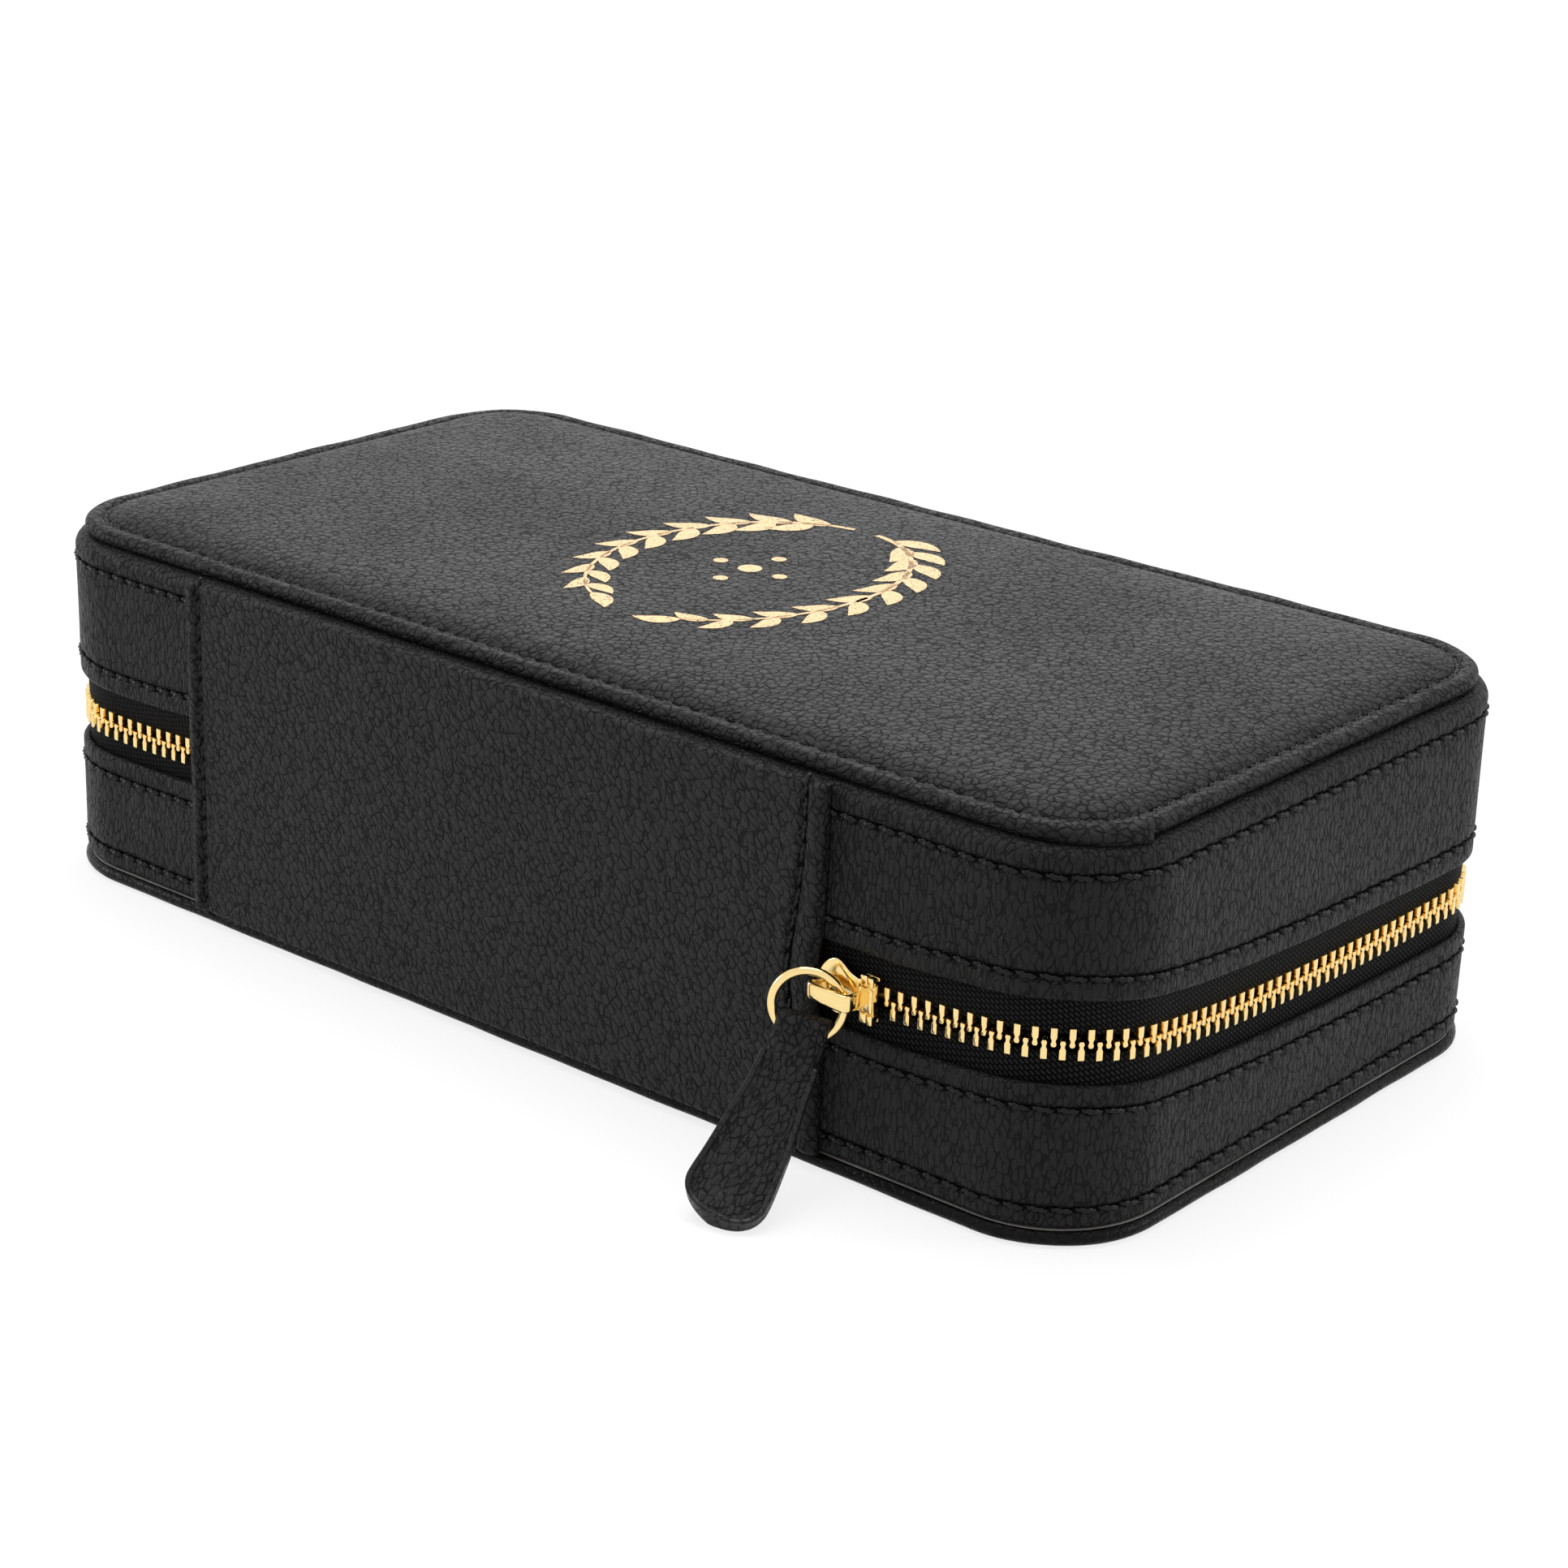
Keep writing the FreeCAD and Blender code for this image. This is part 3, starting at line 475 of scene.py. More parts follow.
def material_named(name):
    """Turns a function that gives the main shader's inputs into one that gives the material, made once."""

    def mark(looks):
        def finished():
            found = bpy.data.materials.get(name)
            if found:
                return found
            fresh = bpy.data.materials.new(name)
            fresh.use_nodes = True
            tree = fresh.node_tree
            connect(tree, tree.nodes["Principled BSDF"], looks(tree, bpy.context.scene.case_colours))
            return fresh

        return finished

    return mark


def leather(name, stretch, relief, roughness, gloss, pebble_scale=1.0, painted_lightness=1.0, lean=(0, 0, 0)):
    """Pebbled leather, with creases as deep as relief, and painted shade in the creases.

    stretch draws the pebbles out along X, Y and Z once lean, in degrees, has turned those. Each piece's share
    scales the leather's colour: painted light and shade, which makes one black leather lighter on some pieces
    and darker on others.
    """
    wander_scale = 1.1
    wander_reach = (0.45, 0.45, 0.45)
    crease_width = 0.15
    fine_scale = 2.3
    fine_width = 0.2
    fine_share = 0.15

    @material_named(name)
    def looks(tree, colours):
        pebble = bpy.context.scene.case_sizes.pebble * pebble_scale
        place = object_place(tree)
        grain = {
            "Vector": place,
            "Rotation": [math.radians(angle) for angle in lean],
            "Scale": shaded(stretch, pebble),
        }
        scaled = add_node(tree, "ShaderNodeMapping", grain, vector_type="TEXTURE").outputs[0]
        wander = noise(tree, scaled, wander_scale, 1.0, "Color")
        inputs = {0: wander, 1: wander_reach, 2: scaled}
        bent = add_node(tree, "ShaderNodeVectorMath", inputs, operation="MULTIPLY_ADD").outputs[0]

        def creases(size, width):
            inputs = {"Vector": bent, "Scale": size}
            cells = add_node(tree, "ShaderNodeTexVoronoi", inputs, feature="DISTANCE_TO_EDGE")
            return remap(tree, cells.outputs["Distance"], 0.0, width, 1.0, 0.0)

        strength = remap(tree, noise(tree, bent, 0.9, 1.0), 0.36, 0.56, 0.4, 1.0)
        deep = calculate(tree, "MULTIPLY", creases(1.0, crease_width), strength)
        fine_strength = calculate(tree, "MULTIPLY", strength, fine_share)
        fine = calculate(tree, "MULTIPLY", creases(fine_scale, fine_width), fine_strength)
        crease = calculate(tree, "MAXIMUM", deep, fine)
        inputs = {"Vector": bent, "Scale": 1.0}
        domes = add_node(tree, "ShaderNodeTexVoronoi", inputs, feature="SMOOTH_F1").outputs["Distance"]
        pores = noise(tree, scaled, 7.0)
        drift = noise(tree, place, 38.0, 3.0)
        height = calculate(tree, "SUBTRACT", calculate(tree, "MULTIPLY", pores, 0.25), crease)
        height = calculate(tree, "SUBTRACT", height, calculate(tree, "MULTIPLY", domes, 0.8))
        # Painted light and shade: the leather's colour scaled by this piece's share.
        light = shaded(colours.leather, painted_lightness)
        tops = mix_colours(tree, remap(tree, drift, 0.3, 0.7, 0.0, 1.0), shaded(light, 0.85), light)
        shine = remap(tree, drift, 0.25, 0.75, roughness - 0.05, roughness + 0.05)
        return {
            # Painted shade: the creases are coloured towards the crease colour and reflect only 0.65 of the
            # gloss, standing for the shade in the grain's valleys.
            "Base Color": mix_colours(tree, calculate(tree, "MULTIPLY", crease, 0.7), tops, colours.crease),
            "Roughness": calculate(tree, "ADD", shine, calculate(tree, "MULTIPLY", crease, 0.2)),
            "Specular IOR Level": remap(tree, crease, 0.0, 1.0, gloss, 0.65 * gloss),
            "Normal": bump(tree, height, 1.0, relief),
        }

    return looks()


@material_named("black_thread")
def thread_material(tree, colours):
    """Waxed sewing thread, with fine fibres."""
    fibre = noise(tree, object_place(tree), 6000.0)
    return {
        "Base Color": mix_colours(tree, fibre, shaded(colours.thread, 0.6), shaded(colours.thread, 1.4)),
        "Roughness": remap(tree, fibre, 0.3, 0.7, 0.26, 0.4),
        "Specular IOR Level": 0.2,
        "Normal": bump(tree, fibre, 0.4, 0.05 * MM),
    }


@material_named("needle_hole_shade")
def needle_hole_shade_material(tree, colours):
    """Painted shade of a needle hole: a near-black, matte colour for the dark where the thread dives into the
    leather.
    """
    speck = noise(tree, object_place(tree), 4000.0)
    return {
        "Base Color": mix_colours(tree, speck, (0.001, 0.001, 0.001), (0.003, 0.003, 0.003)),
        "Roughness": 0.95,
        "Specular IOR Level": 0.05,
    }


@material_named("woven_tape")
def tape_material(tree, colours):
    """Woven zip tape: short dashes along the zip, in rows that step across it, with painted highlight on the
    dashes and painted shade in the gaps between them.
    """
    lay = add_node(tree, "ShaderNodeAttribute", attribute_name="lay").outputs["Vector"]
    per_metre = 1 / MM
    slant = {"Vector": lay, "Scale": [per_metre] * 3, "Rotation": (0.0, 0.0, math.radians(38))}
    place = add_node(tree, "ShaderNodeMapping", slant).outputs[0]
    dashes = {
        "Vector": place,
        "Color1": (0.75, 0.75, 0.75, 1),
        "Color2": (1, 1, 1, 1),
        "Mortar": (0, 0, 0, 1),
        "Scale": 1.0,
        "Mortar Size": 0.2,
        "Mortar Smooth": 0.6,
        "Brick Width": 1.15,
        "Row Height": 0.62,
    }
    weave_and_highlight = add_node(tree, "ShaderNodeTexBrick", dashes).outputs["Color"]
    fibre = noise(tree, place, 6.0, 3.0)
    rise = calculate(tree, "ADD", weave_and_highlight, calculate(tree, "MULTIPLY", fibre, 0.4))
    return {
        # Painted highlight and shade: the dashes at 8 times the tape colour and the gaps at 0.05 times, over
        # the real woven pattern.
        "Base Color": mix_colours(tree, weave_and_highlight, shaded(colours.tape, 0.05), shaded(colours.tape, 8.0)),
        "Roughness": remap(tree, fibre, 0.3, 0.7, 0.5, 0.75),
        "Specular IOR Level": 0.05,
        "Normal": bump(tree, rise, 1.0, 0.35 * MM),
    }


@material_named("polished_gold")
def gold_material(tree, colours):
    """Polished gold-coloured metal with faint tumbling marks."""
    place = object_place(tree)
    cloud = noise(tree, place, 420.0, 4.0)
    return {
        "Base Color": mix_colours(tree, cloud, shaded(colours.gold, 0.92), colours.gold),
        "Metallic": 1.0,
        "Roughness": remap(tree, cloud, 0.3, 0.7, 0.1, 0.2),
        "Normal": bump(tree, noise(tree, place, 1500.0), 0.12, 0.1 * MM),
    }


@material_named("gold_foil")
def foil_material(tree, colours):
    """Hot-pressed gold foil, thin over the grain and worn in specks."""
    place = object_place(tree)
    grain = noise(tree, place, 1400.0, 4.0)
    left = remap(tree, noise(tree, place, 2600.0), 0.56, 0.66, 1.0, 0.0)
    return {
        "Base Color": mix_colours(tree, left, colours.leather, colours.foil),
        "Metallic": left,
        "Roughness": remap(tree, grain, 0.3, 0.7, 0.34, 0.5),
        "Normal": bump(tree, grain, 0.9, 0.16 * MM),
    }


@material_named("lining_velvet")
def velvet_material(tree, colours):
    """Short-pile lining velvet.

    The frame brings a plain material of this name, which is found first, so the lined pieces show that.
    """
    place = object_place(tree)
    pile = noise(tree, place, 3200.0)
    shade = remap(tree, noise(tree, place, 60.0, 4.0), 0.35, 0.65, 0.0, 1.0)
    return {
        "Base Color": mix_colours(tree, shade, shaded(colours.velvet, 0.6), shaded(colours.velvet, 1.3)),
        "Roughness": remap(tree, pile, 0.3, 0.7, 0.8, 1.0),
        "Specular IOR Level": 0.1,
        "Sheen Weight": 0.25,
        "Sheen Roughness": 0.35,
        "Normal": bump(tree, pile, 0.6, 0.2 * MM),
    }


@material_named("silvered_glass")
def mirror_material(tree, colours):
    """Silvered glass with the faintest haze."""
    haze = noise(tree, object_place(tree), 45.0, 3.0)
    return {
        "Base Color": mix_colours(tree, haze, (0.84, 0.86, 0.86), (0.88, 0.89, 0.89)),
        "Metallic": 1.0,
        "Roughness": remap(tree, haze, 0.3, 0.7, 0.01, 0.035),
    }


@material_named("fibre_board")
def board_material(tree, colours):
    """Grey board with paper fibres."""
    fibre = noise(tree, object_place(tree), 900.0, 5.0)
    return {
        "Base Color": mix_colours(tree, fibre, shaded(colours.board, 0.8), shaded(colours.board, 1.15)),
        "Roughness": 0.9,
        "Normal": bump(tree, fibre, 0.3, 0.1 * MM),
    }


def wall_leather():
    """Leather of the bands, its grain drawn out upwards."""
    grain = {"stretch": (1.0, 1.0, 2.3), "relief": 0.26 * MM, "pebble_scale": 0.78}
    # Painted shade: the bands at 0.8 of the leather colour, darker than the spine.
    return leather("wall_leather", roughness=0.4, gloss=0.14, painted_lightness=0.8, **grain)


def top_leather():
    """Leather of the lid's top, its grain even."""
    grain = {"stretch": (1.0, 1.0, 1.0), "relief": 0.34 * MM, "pebble_scale": 1.15}
    # Painted shade: the top at 0.9 of the leather colour, a little darker than the spine.
    return leather("top_leather", roughness=0.39, gloss=0.13, painted_lightness=0.9, **grain)


def bottom_leather():
    """Smooth leather of the bottom, coloured darker with painted shade."""
    grain = {"stretch": (1.6, 1.6, 1.0), "relief": 0.06 * MM, "pebble_scale": 0.8}
    # Painted shade: the bottom at 0.3 of the leather colour.
    return leather("bottom_leather", roughness=0.24, gloss=0.1, painted_lightness=0.3, **grain)


def spine_leather():
    """Leather of the spine, its grain drawn out on a slant."""
    grain = {"stretch": (0.9, 1.0, 1.35), "relief": 0.4 * MM, "pebble_scale": 1.1, "lean": (0, 45, 0)}
    # The spine keeps the full leather colour; the other pieces are painted lighter or darker against it.
    return leather("spine_leather", roughness=0.4, gloss=0.15, painted_lightness=1.0, **grain)


def tab_leather():
    """Leather of the pull tab, its grain drawn out along the tab."""
    grain = {"stretch": (0.85, 1.7, 1.0), "relief": 0.36 * MM, "pebble_scale": 0.85, "lean": (-40, 0, 0)}
    # Painted light: the tab at 1.3 of the leather colour, lighter than the spine.
    return leather("tab_leather", roughness=0.4, gloss=0.18, painted_lightness=1.3, **grain)


def edge_paint():
    """Smooth paint on the tab's cut edge."""
    grain = {"stretch": (2.0, 2.0, 2.0), "relief": 0.03 * MM, "pebble_scale": 0.6}
    # Painted light: the tab's edge at 1.2 of the leather colour, lighter than the spine.
    return leather("edge_paint", roughness=0.36, gloss=0.22, painted_lightness=1.2, **grain)


@material_named("white_floor")
def floor_material(tree, colours):
    """The white floor that the case stands on."""
    return {
        "Base Color": (*bpy.context.scene.case_stage.floor, 1.0),
        "Roughness": 0.9,
        "Specular IOR Level": 0.1,
    }


def add_velvet(name, shape, body, node):
    """A piece covered in lining velvet that stands for one solid."""
    return add_piece(name, shape, velvet_material(), body, (node,))


def add_gold(name, shape, body, node, flat_angle=None):
    """A piece of polished metal that stands for one solid."""
    return add_piece(name, shape, gold_material(), body, (node,), flat_angle=flat_angle)


# Sewing


def stitch_shape():
    """One stitch of two-ply thread along X, standing on Y, with its ends sunk into the leather."""
    sizes = bpy.context.scene.case_sizes
    ply_depth = 0.26
    ply_twist = 9.0
    end_sink = 1.3
    turn = full_turn(10)
    loops = []
    for part in np.linspace(0, 1, 17):
        taper = 0.4 + 0.6 * math.sin(math.pi * part) ** 0.35
        plies = 1 + ply_depth * np.cos(2 * (turn - ply_twist * part))
        radius = sizes.thread_radius * taper * plies
        sunk = -end_sink * sizes.thread_radius * (2 * part - 1) ** 4
        along = np.full_like(turn, (part - 0.5) * sizes.stitch_length)
        loops.append(np.stack((along, sunk + radius * np.sin(turn), radius * np.cos(turn)), 1))
    return loft(loops)


def needle_hole_shade_shape():
    """The painted shade of a needle hole: a dark disc in the plane of the leather."""
    turn = full_turn(10)
    width = 0.36 * MM
    rim = np.stack((width * np.cos(turn), np.zeros_like(turn), -0.8 * width * np.sin(turn)), 1)
    return rim, [tuple(range(len(turn)))]


def sew(name, origins, along, out, slant, hole_sink):
    """A row of stitches and the painted shade of each needle hole as a dark disc, as a list of two pieces.

    slant turns each stitch out of the row, in degrees. hole_sink is how deep the dark discs of painted hole
    shade lie.
    """
    across = np.cross(along, out)
    tilt = math.radians(slant)
    leaning = along * math.cos(tilt) + across * math.sin(tilt)
    stitches = scatter(stitch_shape(), origins, np.stack((leaning, out, np.cross(leaning, out)), 1))
    steps = np.roll(origins, -1, 0) - origins
    longest_step = 1.5 * bpy.context.scene.case_sizes.stitch_pitch
    near = np.linalg.norm(steps, axis=1) < longest_step
    middles = (origins + steps / 2 - out * hole_sink)[near]
    # Painted shade: a dark disc between neighbouring stitches, where each needle hole is.
    hole_shades = scatter(needle_hole_shade_shape(), middles, np.stack((along, out, across), 1)[near])
    return [
        add_piece(name, stitches, thread_material()),
        add_piece(name + "_holes", hole_shades, needle_hole_shade_material(), open_skin=True),
    ]


def wall_row(inset, level, out_share, up_share, share=0.0):
    """Stitch places round the wall, with their directions along the seam and out of the leather."""
    sizes = bpy.context.scene.case_sizes
    total = run_length(CASE)
    count = round(total / sizes.stitch_pitch)
    run = (np.arange(count) + 0.5) * total / count
    points, outward = run_round(CASE, run)
    flat = points - outward * inset
    origins = np.column_stack((flat, fallen(level, flat[:, 0], flat[:, 1], share)))
    along = np.column_stack((-outward[:, 1], outward[:, 0], np.zeros(count)))
    out = np.column_stack((outward * out_share, np.full(count, up_share)))
    return origins, along, out


def seam_beat(run):
    """1 at the middle of each stitch of a row round the wall, -1 at its needle holes."""
    total = run_length(CASE)
    count = round(total / bpy.context.scene.case_sizes.stitch_pitch)
    return np.cos(2 * math.pi * count * (run / total) - math.pi)


def slow_waves(run, level):
    """Gentle unevenness of hand-covered leather, from -1 to 1."""
    turn = 2 * math.pi * run / run_length(CASE)
    long_wave = np.sin(9 * turn + 60 * level)
    middle_wave = np.sin(23 * turn + 1.3 - 110 * level)
    short_wave = np.sin(41 * turn + 0.6 + 170 * level)
    return (long_wave + middle_wave + short_wave) / 3


SEAM_REACH = 1.9 * MM
BESIDE_SEAM = (-1.7, -1.2, -0.8, -0.45, -0.2, 0.0, 0.2, 0.45, 0.8, 1.2, 1.7)


def levels_between(low, high, rows, step=1.1 * MM):
    """Levels of a wall's points, closer together beside its seams."""
    levels = list(np.arange(low, high, step)) + [high]
    for row in rows:
        levels = [level for level in levels if abs(level - row) > SEAM_REACH]
        levels += [row + offset * MM for offset in BESIDE_SEAM]
    return sorted(level for level in levels if low <= level <= high)


def band_profile(panel_level, zip_level, rows, shoulder):
    """A wall band's section from its turned zip edge to its shoulder at the panel, and back inside."""
    way = 1 if panel_level > zip_level else -1
    height = abs(panel_level - zip_level)
    fold = LEATHER / 2
    turn = np.linspace(0, math.pi / 2, 7)
    fold_turn = np.linspace(-math.pi, 0, 9)[:-1]
    outline = [(fold - fold * math.cos(a + math.pi), fold + fold * math.sin(a)) for a in fold_turn]
    outline = [(2 * fold - inset, up) for inset, up in outline]
    rows_up = sorted(abs(row - zip_level) for row in rows)
    outline += [(0.0, up) for up in levels_between(fold, height - shoulder - 0.4 * MM, rows_up)]
    outline += [(shoulder * (1 - math.cos(a)), height - shoulder * (1 - math.sin(a))) for a in turn]
    turned_in = 3.8 * MM
    below = height - 1.2 * MM
    outline += [(turned_in, height), (turned_in, below), (LEATHER, below), (LEATHER, height / 2)]
    points = [(inset, zip_level + way * up) for inset, up in outline]
    return points if way > 0 else points[::-1]


def band_lift(rows):
    """How a sewn wall band dips at its seams and swells between them."""
    depth = bpy.context.scene.case_sizes.seam_depth
    unevenness = 0.10 * MM
    pucker = 0.07 * MM
    dip_reach = 0.62 * MM
    pucker_reach = 2.0 * MM
    edge_fade = 1.2 * MM

    def lift(run, inset, level):
        beat = seam_beat(run)
        height = unevenness * slow_waves(run, level)
        for row in rows:
            height = height - depth * bell(level - row, dip_reach) * (0.8 - 0.2 * beat)
            height = height + pucker * beat * bell(level - row, pucker_reach)
        return height * np.clip(1 - inset / edge_fade, 0, 1)

    return lift


# Leather pieces

LID_SEAMS = (LID_WALL_HIGH.z - 4.3 * MM, LID_EDGE + 3.6 * MM)
BASE_SEAMS = (BASE_WALL_LOW.z + 3.4 * MM, BASE_EDGE - 3.8 * MM)
TOP_SEAM_INSET = 5.3 * MM
PLEAT_SHARE = 0.1823
TOP_PROFILE = (
    (9.0, 0.05), (3.4, 0.05), (2.4, 0.25), (1.97, 0.85), (1.9, 1.5), (2.12, 2.12),
    (2.72, 2.52), (3.45, 2.62), (4.3, 2.5), (4.9, 2.2), (5.3, 1.5), (5.7, 2.25),
    (6.5, 2.74), (7.6, 3.2), (9.2, 3.62), (11.5, 3.98), (15.0, 4.28), (20.0, 4.5),
    (27.0, 4.68), (36.0, 4.8), (46.0, 4.86), (57.0, 4.88),
)


def top_level(inset):
    """Level of the lid's crowned top at an inset from the wall."""
    insets, levels = np.array(TOP_PROFILE[10:]).T
    return LID_WALL_HIGH.z + MM * np.interp(inset / MM, insets, levels)


class CASE_OT_wall_bands(bpy.types.Operator):
    """Make the leather bands round the lid and the base, with their stitching"""

    bl_idname = "case.wall_bands"
    bl_label = "Wall Bands"

    def execute(self, context):
        inset = 0.35 * context.scene.case_sizes.seam_depth - 0.1 * MM
        for body, panel, edge, shoulder, rows, node in (
            ("lid", LID_WALL_HIGH.z, LID_EDGE, 2.4 * MM, LID_SEAMS, "lid_wall_leather"),
            ("base", BASE_WALL_LOW.z, BASE_EDGE, 1.6 * MM, BASE_SEAMS, "base_wall_leather"),
        ):

            def fall(level):
                span = (6 * MM, abs(edge - panel) - 5.5 * MM)
                return np.interp(np.abs(level - panel), span, (0, 1))

            profile = band_profile(panel, edge, rows, shoulder)
            skin, _ = ring_stack(CASE, profile, True, lift=band_lift(rows), fall=fall)
            add_piece(body + "_band", skin, wall_leather(), body, (node,))
            for index, row in enumerate(rows):
                places = wall_row(inset, row, 1.0, 0.0, fall(row))
                for piece in sew("%s_band_sewing_%d" % (body, index + 1), *places, slant=7, hole_sink=0.0):
                    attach(piece, body)
        return {"FINISHED"}


class CASE_OT_top_panel(bpy.types.Operator):
    """Make the lid's padded top with its rolled edge and stitching"""

    bl_idname = "case.top_panel"
    bl_label = "Top Panel"

    def execute(self, context):
        pleat = run_length(CASE) * PLEAT_SHARE
        pleat_length = 20 * MM
        pleat_height = 1.4 * MM
        pucker = 0.09 * MM
        unevenness = 0.14 * MM

        def lift(run, inset, level):
            beat = seam_beat(run)
            near = bell(inset - TOP_SEAM_INSET, 1.3 * MM)
            rim = np.clip((TOP_SEAM_INSET - inset) / (2.5 * MM), 0, 1)
            rim = rim * np.clip((level - LID_WALL_HIGH.z) / MM, 0, 1)
            height = pucker * beat * near + unevenness * slow_waves(run, level) * rim
            roll = bell(inset - 2.2 * MM, 1.3 * MM)
            roll = roll * np.clip((LID_WALL_HIGH.z + 2.4 * MM - level) / (1.4 * MM), 0, 1)
            fold = np.clip(1 + (run - pleat) / pleat_length, 0, 1) * (run < pleat)
            return height + pleat_height * fold * roll

        profile = smooth_path(np.array(TOP_PROFILE) * MM + np.array((0.0, LID_WALL_HIGH.z)), 2)
        skin, _ = ring_stack(CASE, profile, False, lift=lift)
        nodes = ("lid_top_cover", "lid_foam_pad")
        panel = add_piece("top_panel", skin, top_leather(), "lid", nodes)
        places = wall_row(TOP_SEAM_INSET, LID_WALL_HIGH.z + 1.85 * MM, 0.0, 1.0)
        for piece in sew("top_panel_sewing", *places, slant=4, hole_sink=-0.08 * MM):
            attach(piece, "lid")
        return {"FINISHED"}


class CASE_OT_bottom_panel(bpy.types.Operator):
    """Make the bottom panel with its rolled edge"""

    bl_idname = "case.bottom_panel"
    bl_label = "Bottom Panel"

    def execute(self, context):
        outline = ((57, 0.25), (20, 0.2), (9, 0.1), (4.2, 0.02), (1.6, 0.0), (0.6, 0.12))
        outline += ((-0.15, 0.6), (-0.4, 1.25), (-0.2, 1.95), (0.4, 2.45), (1.6, 2.6), (9, 2.62))
        profile = smooth_path(np.array(outline) * MM + np.array((0.0, BOTTOM_LEVEL)), 2)

        def lift(run, inset, level):
            return 0.1 * MM * slow_waves(run, level) * bell(inset + 0.4 * MM, MM)

        skin, _ = ring_stack(CASE, profile, False, lift=lift)
        add_piece("bottom_panel", skin, bottom_leather(), "base", ("bottom_cover",))
        return {"FINISHED"}


def spine_margin(z):
    """How far the zip draws in the spine's slider end at a height, and how far its seam lies from there."""
    drawn = 1.1 * MM * bell(z - ZIP_LEVEL, 8 * MM)
    margin = 3.9 * MM + 1.6 * MM * bell(z - ZIP_LEVEL - 2.5 * MM, 14 * MM)
    return drawn, margin


class CASE_OT_spine(bpy.types.Operator):
    """Make the leather spine that hinges the lid, with its stitching"""

    bl_idname = "case.spine"
    bl_label = "Spine"

    def execute(self, context):
        pitch = context.scene.case_sizes.stitch_pitch
        back = CASE_DEPTH / 2 + 0.02 * MM
        thick = SPINE_HIGH.y - CASE_DEPTH / 2
        end_round = 0.8 * MM
        low = SPINE_LOW.z + end_round
        high = LID_WALL_HIGH.z + 0.1 * MM - end_round
        turn = np.radians(np.linspace(0, 88, 6))
        path = [(low - end_round * math.sin(a), math.cos(a)) for a in turn[:0:-1]]
        path += [(level, 1.0) for level in np.linspace(low, high, 60)]
        path += [(high + end_round * math.sin(a), math.cos(a)) for a in turn[1:]]
        width = SPINE_HIGH.x - SPINE_LOW.x
        seam = 3.3 * MM
        straight = 18 * MM
        near_edge = (0.0, 0.08, 0.25, 0.5, 0.85, 1.3, 1.8, 2.3, 2.7, 3.0, 3.3, 3.6, 3.9, 4.3, 5.0, 6.0)
        near_edge = np.array(near_edge) * MM
        middle = np.linspace(7.5 * MM, width - 7.5 * MM, 80)
        columns = np.concatenate((near_edge, middle, (width - near_edge)[::-1]))
        edge = np.minimum(columns, width - columns)
        rounding = np.sqrt(np.clip(1 - (1 - np.clip(edge / (0.85 * MM), 0, 1)) ** 2, 0, 1))
        puff = 0.34 * MM * bell(edge - 1.7 * MM, 0.95 * MM) * rounding
        groove = bell(edge - seam, 0.5 * MM)
        pucker = bell(edge - seam, 1.8 * MM)
        loops = []
        for z, share in path:
            beat = math.cos(2 * math.pi * z / pitch)
            uneven = 0.09 * MM * (np.sin(columns * 190 + z * 150) + np.sin(columns * 83 - z * 260)) / 2
            height = (thick + uneven) * rounding + puff
            height += 0.05 * MM * beat * pucker - (0.85 - 0.12 * beat) * MM * groove
            drawn, margin = spine_margin(z)
            drawn_to = (drawn, drawn + margin, straight, width)
            across = SPINE_LOW.x + np.interp(columns, (0, seam, straight, width), drawn_to)
            level = np.full_like(columns, z)
            face = np.column_stack((across, back + height * share, level))
            hidden = np.column_stack((across, np.full_like(columns, back), level))[::-6]
            loops.append(np.concatenate((face, hidden)))
        nodes = ("spine_lower", "spine_fold", "spine_upper")
        spine = add_piece("spine", loft(loops), spine_leather(), None, nodes)
        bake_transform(spine)
        levels = np.arange(math.ceil(low / pitch), math.floor(high / pitch) + 1) * pitch
        for side, places in (
            ("slider_side", SPINE_LOW.x + sum(spine_margin(levels))),
            ("far_side", np.full_like(levels, SPINE_HIGH.x - seam)),
        ):
            origins = np.column_stack((places, np.full_like(levels, back + thick - 0.55 * MM), levels))
            along = np.gradient(origins, axis=0)
            along = unit(along)
            out = np.tile((0.0, 1.0, 0.0), (len(levels), 1))
            for piece in sew("spine_sewing_" + side, origins, along, out, slant=5, hole_sink=0.02 * MM):
                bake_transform(piece)
        return {"FINISHED"}


